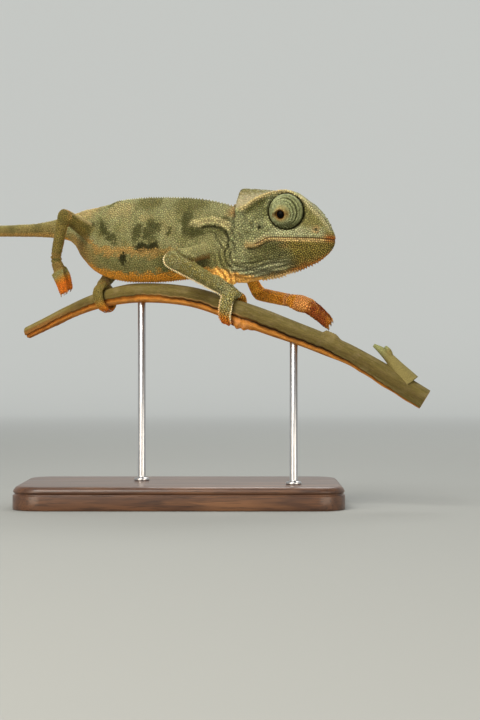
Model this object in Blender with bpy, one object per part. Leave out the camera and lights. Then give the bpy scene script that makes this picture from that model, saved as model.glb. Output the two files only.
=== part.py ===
"""A young flap-necked chameleon walking along a cut twig, on a plain display stand.

Lengths are written in millimetres and multiplied by MM where a mesh is made. +X is the way the animal walks,
+Y its left side and +Z up. The origin is the middle of the stand's underside.
"""

import math

import bmesh
import bpy
import numpy as np
from mathutils import Vector

MM = 0.001
GAP = 0.3  # between two pieces that meet
UP = np.array((0.0, 0.0, 1.0))

# ---------------------------------------------------------------- driving sizes
HEAD_AT = np.array((16.5, -15.5, 79.6))  # middle of the back of the head, level with the mouth
HEAD_YAW = math.radians(-8.0)
HEAD_LENGTH = 30.0
EYE_AT = (15.9, 4.4, 8.0)  # forward, sideways and up from HEAD_AT
EYE_RADII = (5.3, 4.4, 5.45)
EYE_FLAT = 1.3  # the eyeball's inner side is cut flat this far from the middle plane

TAIL_STRAIGHT = 6.0  # after the last body station, before the curl
TAIL_CURL_LENGTH = 52.0
TAIL_CURL_RADII = (8.5, 1.6)
TAIL_TIP = 0.4

BASE_SIZE = (98.0, 58.0, 7.0)
BASE_CORNER = 9.0
ROD_RADIUS = 1.2
ROD_SOCKET = 4.0  # depth of the rods in the base
ROD_TOP_INSET = 1.0  # the rods stop this far below the perch's centre line

# x, y, height of the middle, half height, half width, narrowing of the back
BODY = (
    (20.0, -16.9, 77.3, 11.1, 4.3, 0.05),  # under the back of the head
    (16.5, -15.5, 78.1, 11.3, 4.5, 0.10),  # nape and throat
    (12.6, -13.4, 79.2, 11.3, 4.8, 0.15),  # neck
    (7.5, -10.0, 80.3, 11.7, 5.2, 0.22),  # shoulders
    (1.4, -5.4, 80.6, 12.4, 5.7, 0.28),
    (-4.8, -1.0, 80.6, 12.85, 6.2, 0.30),  # ribs
    (-11.1, 3.5, 80.7, 12.95, 6.4, 0.30),
    (-17.5, 8.0, 80.9, 12.6, 6.1, 0.30),
    (-23.0, 12.0, 81.6, 11.4, 5.4, 0.26),  # loins
    (-27.2, 15.2, 83.2, 9.2, 4.6, 0.20),
    (-30.6, 17.8, 84.7, 6.8, 3.9, 0.12),  # hips
    (-33.9, 20.2, 85.4, 4.7, 3.1, 0.05),  # vent
    (-39.0, 23.9, 85.5, 3.3, 2.5, 0.0),
    (-45.1, 28.2, 85.4, 2.4, 2.1, 0.0),  # tail
    (-52.4, 33.3, 85.5, 2.1, 1.9, 0.0),
    (-59.6, 38.3, 85.7, 1.95, 1.75, 0.0),
)

# x, y, z and radius along the twig
PERCH = (
    (-49.9, 32.0, 52.6, 2.0),
    (-42.4, 27.0, 56.0, 2.1),
    (-34.0, 21.0, 59.7, 2.25),
    (-25.7, 14.5, 62.5, 2.6),
    (-15.9, 7.0, 64.3, 3.05),
    (-6.4, -0.5, 64.2, 3.1),
    (6.0, -9.0, 62.2, 3.1),
    (14.4, -13.0, 59.4, 3.3),
    (24.5, -15.0, 55.6, 3.6),
    (35.8, -16.0, 51.4, 3.3),
    (44.7, -16.5, 47.9, 3.2),
    (51.5, -17.0, 44.9, 3.0),
    (61.5, -18.0, 39.0, 3.2),
    (72.6, -19.0, 32.2, 3.2),
)
SPUR_FROM = (64.5, -18.0, 38.0)
SPUR_TO = (57.0, -17.0, 48.2)
SPUR_RADII = (2.5, 1.0)
ROD_PLACES = {"stand_rod_rear": 0.335, "stand_rod_front": 0.70}  # fractions of the perch's length

# the outline of the head from the side: (forward, up) from HEAD_AT
CROWN = ((0, 10.2), (0.5, 11.8), (0.9, 13.4), (1.3, 14.6), (1.9, 15.3), (2.8, 15.5), (5, 15.4), (8, 15.15),
         (12.8, 14.7), (16, 14.5), (18.8, 13.8), (21, 12.6), (22.6, 11.5), (25.2, 9.5), (26.7, 7.7), (28.4, 4.7),
         (29.5, 2.4), (30, 0.7))
THROAT = ((0, -12.8), (3, -12.95), (5.5, -12.65), (8, -12.15), (12, -11.45), (15.5, -10.5), (19, -9.35),
          (22, -8.2), (25.2, -6.8), (27.3, -5.35), (29, -3.7), (29.7, -2.5), (30, -1.1))
CASQUE_EDGE = (0.6, 1.3)  # two more sections, where the casque rises steeply
# the crest that runs from the nostril over the eye to the back of the head: (forward, up), (forward, out)
RIDGE_UP = ((0, 8.8), (2, 9.2), (4, 9.9), (6.1, 11.5), (9, 13.0), (11.6, 13.9), (14, 14.3),
            (16.5, 14.1), (20, 12.2), (23, 10.2), (26, 7.7), (28.3, 4.7), (30, 0.9))
RIDGE_OUT = ((0, 4.0), (2, 5.0), (5, 5.6), (9, 5.4), (12, 4.7), (16, 4.2), (20, 3.9), (23, 3.4),
             (26, 2.7), (28.3, 1.9), (29.5, 1.1), (30, 0.5))
# half widths at the cheek, the lips and the jaw: (forward, out)
CHEEK_OUT = ((0, 4.8), (3, 6.4), (7, 7.2), (11, 6.9), (15, 6.3), (19, 5.6), (23, 4.6), (26, 3.6),
             (28.3, 2.5), (29.5, 1.5), (30, 0.7))
JAW_OUT = ((0, 4.8), (3, 6.0), (7, 6.6), (11, 6.4), (15, 5.9), (19, 5.1), (23, 4.2), (26, 3.2),
           (28.3, 2.2), (29.5, 1.4), (30, 0.6))
# the mouth's corner and line: (forward, up)
MOUTH = ((4.9, -1.8), (6.1, -1.85), (7.4, -1.5), (8.8, -0.75), (10.0, -0.05), (11.2, 0.3), (13, 0.35), (16, 0.3),
         (20, 0.22), (25, 0.1), (28, -0.1), (31.5, -0.35))

# the three joints of each limb, and the radii there and half way between them
LIMBS = {
    "arm_right": ((12.5, -12.5, 77.7), (-1.7, -22.0, 73.6), (13.0, -15.4, 65.3), (2.8, 2.4, 2.8, 2.45, 2.15)),
    "arm_left": ((18.0, -6.5, 75.0), (23.8, 0.5, 64.1), (33.2, -9.2, 61.8), (2.4, 1.9, 2.2, 2.1, 2.1)),
    "leg_right": ((-27.0, 13.6, 82.6), (-36.0, 4.0, 88.6), (-38.8, 6.6, 75.4), (3.2, 2.5, 2.1, 1.9, 1.7)),
    "leg_left": ((-26.5, 17.6, 82.2), (-19.5, 28.0, 75.5), (-25.0, 18.2, 67.6), (3.2, 2.8, 2.5, 2.3, 1.9)),
}
# a foot that grips: the fraction of the perch under it, how far the palm sits ahead of that, the arc of the
# toes from the top of the perch, and for each bundle its side, its number of toes and how far it sits ahead
# at its root and its end
GRIPS = {
    "hand_right": {"limb": "arm_right", "at": 0.552, "palm": 0.6, "arc": (84, -60),
                   "outer": (-1, 2, 0.0, 2.1), "inner": (1, 3, 1.7, 3.2)},
    "foot_left": {"limb": "leg_left", "at": 0.230, "palm": 0.5, "arc": (84, -58),
                  "outer": (1, 3, -0.4, -0.6), "inner": (-1, 2, 0.6, 1.2)},
}
# a foot held clear of the perch: where the sole and the toes end, the sole's radii half way and at its end, and
# the toes in each bundle
REACHES = {
    "hand_left": {"limb": "arm_left", "sole": (38.4, -9.6, 60.3), "tip": (45.9, -10.0, 55.7),
                  "girth": (2.7, 2.5), "apart": (0.25, 0.95, 0.1), "outer": 2, "inner": 3},
    "foot_right": {"limb": "leg_right", "sole": (-37.6, 7.2, 71.2), "tip": (-34.2, 7.8, 65.4),
                   "girth": (1.9, 1.8), "apart": (0.35, 0.9, 0.2), "outer": 3, "inner": 2},
}
TOE_HALF = (2.3, 1.25)  # half width and half thickness of a bundle of toes at its root
TOE_END = (1.85, 0.95)
CLAW_LENGTH = 1.5
CLAW_RADIUS = 0.38

COLOURS = {
    "skin": ((0.20, 0.22, 0.11), 0.6),
    "sole": ((0.42, 0.20, 0.08), 0.6),
    "eye": ((0.22, 0.25, 0.13), 0.5),
    "claw": ((0.16, 0.11, 0.07), 0.35),
    "bark": ((0.23, 0.18, 0.10), 0.8),
    "wood": ((0.10, 0.055, 0.03), 0.4),
    "steel": ((0.55, 0.55, 0.55), 0.3),
}


# ---------------------------------------------------------------- curves and surfaces
def clear_scene():
    for obj in list(bpy.data.objects):
        bpy.data.objects.remove(obj)


def unit(vector):
    return np.asarray(vector, float) / np.linalg.norm(vector)


def smooth_between(knots, values, at):
    """Cubic pieces through the values at the knots, with the slopes of the neighbouring knots."""
    knots = np.asarray(knots, float)
    values = np.asarray(values, float).reshape(len(knots), -1)
    slope = np.gradient(values, knots, axis=0)
    at = np.clip(at, knots[0], knots[-1])
    i = np.clip(np.searchsorted(knots, at, "right") - 1, 0, len(knots) - 2)
    step = (knots[i + 1] - knots[i])[:, None]
    t = (at - knots[i])[:, None] / step
    return ((2 * t**3 - 3 * t**2 + 1) * values[i] + (t**3 - 2 * t**2 + t) * step * slope[i]
            + (3 * t**2 - 2 * t**3) * values[i + 1] + (t**3 - t**2) * step * slope[i + 1])


def profile(outline, at):
    """One number per place along the head, from an outline of (forward, number) pairs."""
    points = np.asarray(outline, float)
    return smooth_between(points[:, 0], points[:, 1], np.asarray(at, float))[:, 0]


def run_of(points):
    """The distance along a line of points."""
    steps = np.linalg.norm(np.diff(points[:, :3], axis=0), axis=1)
    return np.concatenate([[0.0], np.cumsum(steps)])


def along(stations, distances):
    """The stations' columns at these distances along their first three."""
    rows = np.asarray(stations, float)
    return smooth_between(run_of(rows), rows, np.asarray(distances, float))


def new_object(name, vertices, faces, colour):
    """A mesh object from millimetres, with its faces turned outwards and its own material."""
    mesh = bpy.data.meshes.new(name)
    mesh.from_pydata([tuple(v) for v in np.asarray(vertices) * MM], [], faces)
    solid = bmesh.new()
    solid.from_mesh(mesh)
    bmesh.ops.recalc_face_normals(solid, faces=solid.faces)
    solid.to_mesh(mesh)
    solid.free()
    mesh.shade_smooth()
    mesh.set_sharp_from_angle(angle=math.radians(50))
    obj = bpy.data.objects.new(name, mesh)
    bpy.context.scene.collection.objects.link(obj)
    material = bpy.data.materials.new(name)
    material.use_nodes = True
    shader = material.node_tree.nodes["Principled BSDF"]
    shade, roughness = COLOURS[colour]
    shader.inputs["Base Color"].default_value = (*shade, 1.0)
    shader.inputs["Roughness"].default_value = roughness
    shader.inputs["Metallic"].default_value = 1.0 if colour == "steel" else 0.0
    mesh.materials.append(material)
    return obj


def loft(name, rings, colour):
    """A closed skin over rings of points, with a flat face at each end."""
    count, sides = rings.shape[:2]
    around = np.arange(sides)
    after = (around + 1) % sides
    faces = []
    for ring in range(count - 1):
        low, high = ring * sides, (ring + 1) * sides
        faces += np.stack([low + around, low + after, high + after, high + around], 1).tolist()
    faces.append(around[::-1].tolist())
    faces.append((around + (count - 1) * sides).tolist())
    return new_object(name, rings.reshape(-1, 3), faces, colour)


def as_cutter(obj):
    obj.hide_render = True
    obj.display_type = "WIRE"
    return obj


def subtract(obj, *cutters):
    for cutter in cutters:
        modifier = obj.modifiers.new(f"clear_of_{cutter.name}", "BOOLEAN")
        modifier.operation = "DIFFERENCE"
        modifier.solver = "EXACT"
        modifier.object = cutter


def clip(obj, point, normal):
    """Removes what lies on the normal's side of a plane, and closes the cut with a flat face."""
    solid = bmesh.new()
    solid.from_mesh(obj.data)
    geometry = solid.verts[:] + solid.edges[:] + solid.faces[:]
    bmesh.ops.bisect_plane(solid, geom=geometry, plane_co=Vector(np.asarray(point) * MM),
                           plane_no=Vector(normal), clear_outer=True)
    rim = [edge for edge in solid.edges if edge.is_boundary]
    bmesh.ops.contextual_create(solid, geom=rim)
    bmesh.ops.recalc_face_normals(solid, faces=solid.faces)
    solid.to_mesh(obj.data)
    solid.free()


# ---------------------------------------------------------------- trunk and tail
def spine():
    """Rows of x, y, z, half height, half width and narrowing along the body, and its sideways directions.

    After the last station the tail runs on straight, and then curls down and forwards in an upright plane.
    There the radius of the bend shrinks evenly with the length, which makes a logarithmic spiral.
    """
    stations = np.array(BODY)
    length = run_of(stations)[-1]
    front = along(stations, np.arange(0.0, length, 1.0))
    last = along(stations, [length - 0.5, length])
    heading = unit((last[1] - last[0])[:3] * (1, 1, 0))
    reach = np.arange(0.0, TAIL_STRAIGHT + TAIL_CURL_LENGTH, 0.5)
    into_curl = np.clip(reach - TAIL_STRAIGHT, 0, None)
    wide, tight = TAIL_CURL_RADII
    shrink = (wide - tight) / TAIL_CURL_LENGTH
    turn = -np.log(1 - shrink * into_curl / wide) / shrink
    steps = 0.5 * (np.cos(turn)[:, None] * heading - np.sin(turn)[:, None] * UP)
    tail = last[1, :3] + np.cumsum(steps, axis=0) - steps[0]
    fade = (reach / reach[-1])[:, None]
    sizes = last[1, 3:5] * (1 - fade) ** 0.9 + TAIL_TIP * fade
    back = np.hstack([tail, sizes, np.zeros((len(reach), 1))])
    rows = np.vstack([front, back])
    plan = np.gradient(rows[:, :2], axis=0)
    plan[len(front):] = heading[:2]
    plan /= np.linalg.norm(plan, axis=1)[:, None]
    sideways = np.stack([plan[:, 1], -plan[:, 0], np.zeros(len(rows))], 1)
    return rows, sideways


def body_rings(start, end, count, sides, grow=0.0):
    """Rings round the body between two distances from the nape: ovals that are narrower towards the back."""
    rows, sideways = spine()
    run = run_of(rows)
    at = np.linspace(start, min(end, run[-1]), count)
    row = smooth_between(run, rows, at)
    side = smooth_between(run, sideways, at)
    side /= np.linalg.norm(side, axis=1)[:, None]
    tangent = smooth_between(run, np.gradient(rows[:, :3], run, axis=0), at)
    tangent /= np.linalg.norm(tangent, axis=1)[:, None]
    over = np.cross(side, tangent)
    turn = np.linspace(0, 2 * math.pi, sides, endpoint=False)
    high = np.cos(turn)
    out = np.sin(turn) * (1 - row[:, 5:6] * high)
    return (row[:, None, :3] + (row[:, 3:4] + grow)[..., None] * high[None, :, None] * over[:, None]
            + ((row[:, 4:5] + grow) * out)[..., None] * side[:, None])


def distance_of(station):
    return run_of(np.array(BODY))[station]


def make_body():
    """Neck, trunk and lengths of the tail, one behind the other, a gap apart."""
    shoulders, vent = distance_of(3) - 2.0, distance_of(11) - 1.0
    curl = distance_of(15) + TAIL_STRAIGHT
    lengths = (
        ("neck", 0.0, shoulders, 7, 24),
        ("trunk", shoulders, vent, 18, 24),
        ("tail_base", vent, distance_of(13), 6, 16),
        ("tail_middle", distance_of(13), curl, 7, 12),
        ("tail_curl_outer", curl, curl + 20, 11, 10),
        ("tail_curl_middle", curl + 20, curl + 37, 12, 9),
        ("tail_curl_inner", curl + 37, curl + TAIL_CURL_LENGTH, 13, 8),
    )
    for name, start, end, count, sides in lengths:
        length = loft(name, body_rings(start + GAP / 2, end - GAP / 2, count, sides), "skin")
        if name == "neck":
            forward = head_axes()[0]
            clip(length, HEAD_AT - GAP * forward, forward)
    return as_cutter(loft("body_clearance", body_rings(0.0, distance_of(14), 30, 24, GAP), "skin"))


# ---------------------------------------------------------------- head
def head_axes():
    forward = np.array((math.cos(HEAD_YAW), math.sin(HEAD_YAW), 0.0))
    left = np.array((-math.sin(HEAD_YAW), math.cos(HEAD_YAW), 0.0))
    return forward, left


def on_head(points):
    """Head coordinates (forward, left, up) turned and placed in the world."""
    forward, left = head_axes()
    points = np.asarray(points, float)
    return HEAD_AT + points[..., 0:1] * forward + points[..., 1:2] * left + points[..., 2:3] * UP


def head_rings(count, steps):
    """Sections of the head: a smooth line over the crown from crest to crest, and one round the jaw.

    Each section has 18 stretches, with this many steps in each.
    """
    share = np.linspace(0, 1, count - 2)
    forward = np.sort([*HEAD_LENGTH * (1 - (1 - share) ** 1.35), *CASQUE_EDGE])
    crown, throat = profile(CROWN, forward), profile(THROAT, forward)
    ridge_up, ridge_out = profile(RIDGE_UP, forward), profile(RIDGE_OUT, forward)
    cheek, jaw = profile(CHEEK_OUT, forward), profile(JAW_OUT, forward)
    none = np.zeros(count)
    half = np.stack([
        np.stack([none, crown], 1),
        np.stack([0.5 * ridge_out, 0.55 * crown + 0.45 * ridge_up], 1),
        np.stack([ridge_out, ridge_up], 1),
        np.stack([0.92 * ridge_out + 0.08 * cheek, 0.66 * ridge_up + 0.1 * crown], 1),
        np.stack([cheek, 0.28 * crown], 1),
        np.stack([cheek, none], 1),
        np.stack([jaw, 0.22 * throat], 1),
        np.stack([0.9 * jaw, 0.55 * throat], 1),
        np.stack([0.52 * jaw, 0.88 * throat], 1),
        np.stack([none, throat], 1),
    ], 1)
    other = half * (-1, 1)
    over = np.concatenate([other[:, 2:0:-1], half[:, :3]], 1)
    under = np.concatenate([half[:, 2:], other[:, 8:1:-1]], 1)
    loops = []
    for line in (over, under):
        keys = np.arange(line.shape[1])
        at = np.linspace(0, keys[-1], keys[-1] * steps, endpoint=False)
        smooth = smooth_between(keys, line.transpose(1, 0, 2).reshape(len(keys), -1), at)
        loops.append(smooth.reshape(len(at), count, 2))
    section = np.concatenate(loops).transpose(1, 0, 2)
    rings = np.empty((*section.shape[:2], 3))
    rings[..., 0] = forward[:, None]
    rings[..., 1:] = section
    return rings


def jaw_block(name, grow):
    """A block that holds everything under the mouth's line and ahead of its corner."""
    line = np.array(MOUTH) + (-grow, grow)
    line[-1, 0] += 2
    outline = np.vstack([line, [(33.5, -16.0), (line[0, 0] + 0.6, -16.0)]])
    rings = np.zeros((2, len(outline), 3))
    rings[:, :, 0] = outline[:, 0]
    rings[:, :, 2] = outline[:, 1]
    rings[0, :, 1], rings[1, :, 1] = -12.0, 12.0
    return loft(name, on_head(rings), "skin")


def eye_rings(side, grow, count=7, sides=20):
    """An eye turret: a flattened ball, cut flat on its inner side."""
    forward, out, up = EYE_AT
    long, thick, tall = np.array(EYE_RADII) + grow
    flat = EYE_FLAT - grow
    lowest = (flat - out) / thick
    polar = np.linspace(math.acos(lowest), math.radians(4), count)
    turn = np.linspace(0, 2 * math.pi, sides, endpoint=False)
    rings = np.empty((count, sides, 3))
    rings[..., 0] = forward + long * np.sin(polar)[:, None] * np.cos(turn)
    rings[..., 1] = side * (out + thick * np.cos(polar))[:, None]
    rings[..., 2] = up + tall * np.sin(polar)[:, None] * np.sin(turn)
    return on_head(rings)


def make_head():
    """The head with its casque, the lower jaw, parted along the mouth, and the two eye turrets."""
    sockets = []
    for side, name in ((-1, "eye_right"), (1, "eye_left")):
        loft(name, eye_rings(side, 0.0), "eye")
        sockets.append(as_cutter(loft(f"{name}_socket", eye_rings(side, GAP), "eye")))
    rings = on_head(head_rings(19, 2))
    head = loft("head", rings, "skin")
    subtract(head, as_cutter(jaw_block("mouth_cut", GAP)), *sockets)
    jaw = loft("lower_jaw", rings, "skin")
    keep = jaw.modifiers.new("under_the_mouth", "BOOLEAN")
    keep.operation = "INTERSECT"
    keep.solver = "EXACT"
    keep.object = as_cutter(jaw_block("mouth_keep", 0.0))
    subtract(jaw, *sockets)


# ---------------------------------------------------------------- limbs
def bone_rings(start, end, radii, count=5, sides=10, grow=0.0):
    """A limb segment: a tube whose radius runs through the given ones, with a round end on each joint."""
    start, end = np.asarray(start, float), np.asarray(end, float)
    length = np.linalg.norm(end - start)
    forward = (end - start) / length
    side = unit(np.cross(forward, UP if abs(forward[2]) < 0.9 else (1.0, 0, 0)))
    over = np.cross(side, forward)
    at = np.linspace(0, length, count)
    radius = smooth_between(np.linspace(0, length, len(radii)), radii, at)[:, 0] + grow
    cap = np.radians([22.0, 58.0])
    at = np.concatenate([-radius[0] * np.cos(cap), at, length + radius[-1] * np.cos(cap[::-1])])
    radius = np.concatenate([radius[0] * np.sin(cap), radius, radius[-1] * np.sin(cap[::-1])])
    turn = np.linspace(0, 2 * math.pi, sides, endpoint=False)
    spokes = np.cos(turn)[:, None] * side + np.sin(turn)[:, None] * over
    return start + at[:, None, None] * forward + radius[:, None, None] * spokes


def part_at_joint(before, after, joint, near, far):
    """Cuts two segments apart along the plane that halves the angle between them."""
    normal = unit(unit(np.subtract(near, joint)) - unit(np.subtract(far, joint)))
    clip(before, joint + normal * GAP / 2, -normal)
    clip(after, joint - normal * GAP / 2, normal)


def make_limb(limb, names, palm_end, palm_radii, body_clearance):
    """Upper and lower segment and the palm or sole, parted at the joints and cut clear of the body.

    Returns the palm, and a clearance of the palm and of the lower segment for the toes.
    """
    shoulder, elbow, wrist, radii = LIMBS[limb]
    upper = loft(names[0], bone_rings(shoulder, elbow, radii[:3]), "skin")
    lower = loft(names[1], bone_rings(elbow, wrist, radii[2:]), "skin")
    palm = loft(names[2], bone_rings(wrist, palm_end, palm_radii, 3), "skin")
    part_at_joint(upper, lower, np.array(elbow), shoulder, wrist)
    part_at_joint(lower, palm, np.array(wrist), elbow, palm_end)
    for segment in (upper, lower, palm):
        subtract(segment, body_clearance)
    around_lower = bone_rings(elbow, wrist, radii[2:], grow=GAP)
    around_palm = bone_rings(wrist, palm_end, palm_radii, 3, grow=GAP)
    clearances = [as_cutter(loft(f"{name}_clearance", rings, "skin"))
                  for name, rings in ((names[1], around_lower), (names[2], around_palm))]
    return palm, clearances


def oval_tube(centres, across, over, sizes, sides=10):
    """Rings along a line, each an oval with the given directions and half sizes."""
    turn = np.linspace(0, 2 * math.pi, sides, endpoint=False)
    return (centres[:, None] + sizes[:, 0, None, None] * np.cos(turn)[None, :, None] * across[:, None]
            + sizes[:, 1, None, None] * np.sin(turn)[None, :, None] * over[:, None])


def make_claws(stem, centre, across, forward, inward, count):
    """A row of curved claws on the flat end of a bundle of toes, one to each toe."""
    width = 1.9 * TOE_END[0] / count
    bend = np.linspace(0, math.radians(55), 3)
    radius = CLAW_LENGTH / bend[-1]
    line = radius * (np.sin(bend)[:, None] * forward + (1 - np.cos(bend))[:, None] * inward)
    over = np.cos(bend)[:, None] * inward - np.sin(bend)[:, None] * forward
    thin = CLAW_RADIUS * np.array((1.0, 0.75, 0.25))
    sides = np.repeat(across[None], 3, 0)
    for claw in range(count):
        shift = (claw - (count - 1) / 2) * width
        centres = centre + shift * across + GAP * forward + line
        loft(f"{stem}_claw_{claw + 1}", oval_tube(centres, sides, over, np.stack([thin, thin], 1), 5), "claw")


def toe_sizes(share):
    root, end = np.array(TOE_HALF), np.array(TOE_END)
    return root + share[:, None] ** 1.5 * (end - root)


def perch_frame(fraction):
    """Centre, radius, direction, sideways and upward directions of the perch at a fraction of its length."""
    stations = np.array(PERCH)
    length = run_of(stations)[-1]
    here = along(stations, [fraction * length - 0.5, fraction * length, fraction * length + 0.5])
    forward = unit((here[2] - here[0])[:3])
    left = unit(np.cross(UP, forward))
    return here[1, :3], here[1, 3], forward, left, np.cross(forward, left)


def make_grip(foot, plan, body_clearance, perch_clearance):
    """A foot that sits on the perch, with one bundle of toes down each side of it."""
    centre, radius, forward, left, over = perch_frame(plan["at"])
    palm_radius = 2.1
    palm_end = centre + (radius + palm_radius - 0.6) * over + plan["palm"] * forward
    limb = plan["limb"]
    radii = (LIMBS[limb][3][4], 2.2, palm_radius)
    palm, clearances = make_limb(limb, segment_names(limb, foot), palm_end, radii, body_clearance)
    subtract(palm, perch_clearance)
    for bundle in ("outer", "inner"):
        side, toes, start, end = plan[bundle]
        share = np.linspace(0, 1, 8)
        turn = np.radians(plan["arc"][0] + share * (plan["arc"][1] - plan["arc"][0]))
        sizes = toe_sizes(share)
        away = np.cos(turn)[:, None] * side * left + np.sin(turn)[:, None] * over
        lean = start + (end - start) * share**0.7
        centres = centre + (radius + GAP + 0.1 + sizes[:, 1])[:, None] * away + lean[:, None] * forward
        across = np.repeat(forward[None], len(share), 0)
        toe = loft(f"{foot}_{bundle}", oval_tube(centres, across, away, sizes), "sole")
        subtract(toe, perch_clearance, *clearances)
        tip_forward = unit(np.sin(turn[-1]) * side * left - np.cos(turn[-1]) * over)
        make_claws(f"{foot}_{bundle}", centres[-1], forward, tip_forward, -away[-1], toes)


def make_reach(foot, plan, body_clearance):
    """A foot in the air, half open, with its two bundles of toes a little apart."""
    limb = plan["limb"]
    sole, tip = np.array(plan["sole"]), np.array(plan["tip"])
    wrist_radius = LIMBS[limb][3][4]
    radii = (wrist_radius, *plan["girth"])
    clearances = make_limb(limb, segment_names(limb, foot), sole, radii, body_clearance)[1]
    forward = unit(tip - sole)
    apart = np.array(plan["apart"]) - np.dot(plan["apart"], forward) * forward
    apart = unit(apart)
    curl = unit(np.cross(apart, forward))
    if curl[2] > 0:
        curl = -curl
    length = np.linalg.norm(tip - sole)
    share = np.linspace(0, 1, 7)
    for bundle, side in (("outer", -1), ("inner", 1)):
        sizes = toe_sizes(share)
        spread = side * (TOE_HALF[1] + GAP + 0.9 * share - 0.5 * share**2)
        reach = share * (length - 0.4) - 0.6
        bend = 1.2 * share**2
        centres = sole + reach[:, None] * forward + spread[:, None] * apart + bend[:, None] * curl
        line = np.gradient(centres, axis=0)
        line /= np.linalg.norm(line, axis=1)[:, None]
        across = np.repeat(unit(np.cross(apart, forward))[None], len(share), 0)
        over = np.cross(line, across)
        over /= np.linalg.norm(over, axis=1)[:, None]
        toe = loft(f"{foot}_{bundle}", oval_tube(centres, across, over, sizes), "sole")
        subtract(toe, *clearances)
        inward = unit(curl - side * apart)
        make_claws(f"{foot}_{bundle}", centres[-1], across[0], line[-1], inward, plan[bundle])


def segment_names(limb, foot):
    kinds = ("upper", "lower") if limb.startswith("arm") else ("thigh", "shank")
    palm = "palm" if limb.startswith("arm") else "sole"
    return f"{limb}_{kinds[0]}", f"{limb}_{kinds[1]}", f"{foot}_{palm}"


# ---------------------------------------------------------------- perch and stand
def perch_rings(count, sides, grow=0.0):
    stations = np.array(PERCH)
    at = np.linspace(0, run_of(stations)[-1], count)
    row = along(stations, at)
    forward = np.gradient(row[:, :3], axis=0)
    forward /= np.linalg.norm(forward, axis=1)[:, None]
    left = np.cross(UP, forward)
    left /= np.linalg.norm(left, axis=1)[:, None]
    sizes = np.repeat(row[:, 3:4] + grow, 2, 1)
    return oval_tube(row[:, :3], left, np.cross(forward, left), sizes, sides)


def make_perch():
    """The cut twig with the stub of a side shoot, and holes for the rods underneath."""
    perch = loft("perch", perch_rings(26, 12), "bark")
    spur = as_cutter(loft("spur", bone_rings(SPUR_FROM, SPUR_TO, SPUR_RADII, 4, 8), "bark"))
    join = perch.modifiers.new("side_shoot", "BOOLEAN")
    join.operation = "UNION"
    join.solver = "EXACT"
    join.object = spur
    return perch, as_cutter(loft("perch_clearance", perch_rings(26, 12, GAP), "bark"))


def post_rings(x, y, low, high, radius, sides=16):
    turn = np.linspace(0, 2 * math.pi, sides, endpoint=False)
    ring = np.stack([x + radius * np.cos(turn), y + radius * np.sin(turn)], 1)
    return np.stack([np.column_stack([ring, np.full(sides, z)]) for z in (low, high)])


def make_stand(perch):
    """A flat base with rounded corners, and two rods set into it and into the perch."""
    long, wide, high = BASE_SIZE
    corners = []
    for turn, (x, y) in enumerate(((1, 1), (-1, 1), (-1, -1), (1, -1))):
        arc = np.radians(np.linspace(0, 90, 5) + 90 * turn)
        corners.append(np.stack([x * (long / 2 - BASE_CORNER) + BASE_CORNER * np.cos(arc),
                                 y * (wide / 2 - BASE_CORNER) + BASE_CORNER * np.sin(arc)], 1))
    outline = np.vstack(corners)
    chamfer = 1.0
    inset = outline * (1 - 2 * chamfer / long, 1 - 2 * chamfer / wide)
    levels = ((outline, 0.0), (outline, high - chamfer), (inset, high))
    rings = np.stack([np.column_stack([line, np.full(len(line), z)]) for line, z in levels])
    base = loft("stand_base", rings, "wood")
    for name, fraction in ROD_PLACES.items():
        centre = perch_frame(fraction)[0]
        top = centre[2] - ROD_TOP_INSET
        low = high - ROD_SOCKET
        loft(name, post_rings(centre[0], centre[1], low, top, ROD_RADIUS), "steel")
        hole_rings = post_rings(centre[0], centre[1], low - GAP, top + GAP, ROD_RADIUS + GAP)
        hole = as_cutter(loft(f"{name}_hole", hole_rings, "steel"))
        subtract(base, hole)
        subtract(perch, hole)


clear_scene()
clearance = make_body()
make_head()
twig, twig_clearance = make_perch()
for foot_name, foot_plan in GRIPS.items():
    make_grip(foot_name, foot_plan, clearance, twig_clearance)
for foot_name, foot_plan in REACHES.items():
    make_reach(foot_name, foot_plan, clearance)
make_stand(twig)
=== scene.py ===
# %% [markdown]
# # A young chameleon walking along a twig
#
# This is a museum model: one small flap-necked chameleon, caught in mid stride on a cut twig. The packed
# solids give its size and pose. This lesson covers them with one skin, some twenty thousand scales, two
# eye turrets, claws and bark, and gives every surface its finish. Everything is worked out as arrays of
# numbers, in millimetres, and becomes a mesh at the very end of each step.

# %% Load the frame
import math

import bpy
import numpy as np
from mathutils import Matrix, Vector


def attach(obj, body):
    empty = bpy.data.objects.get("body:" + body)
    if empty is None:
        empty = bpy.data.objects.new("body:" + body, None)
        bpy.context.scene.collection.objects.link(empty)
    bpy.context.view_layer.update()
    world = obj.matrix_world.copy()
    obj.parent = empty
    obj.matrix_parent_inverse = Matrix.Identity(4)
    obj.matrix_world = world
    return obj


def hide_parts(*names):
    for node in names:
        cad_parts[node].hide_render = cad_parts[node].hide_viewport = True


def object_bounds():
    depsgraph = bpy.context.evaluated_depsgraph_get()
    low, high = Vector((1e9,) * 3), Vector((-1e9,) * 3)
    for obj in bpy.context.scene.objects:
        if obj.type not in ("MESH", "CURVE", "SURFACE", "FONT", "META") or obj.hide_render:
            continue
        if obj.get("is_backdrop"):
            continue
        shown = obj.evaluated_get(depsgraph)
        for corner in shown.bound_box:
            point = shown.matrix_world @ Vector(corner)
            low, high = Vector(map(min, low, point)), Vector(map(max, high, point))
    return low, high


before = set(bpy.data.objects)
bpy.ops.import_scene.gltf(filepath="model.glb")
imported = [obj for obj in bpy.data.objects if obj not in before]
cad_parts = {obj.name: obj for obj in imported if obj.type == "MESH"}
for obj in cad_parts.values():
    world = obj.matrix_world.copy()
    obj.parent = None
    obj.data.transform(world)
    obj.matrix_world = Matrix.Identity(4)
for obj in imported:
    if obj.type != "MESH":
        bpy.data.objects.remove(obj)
cad_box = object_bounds()
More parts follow.
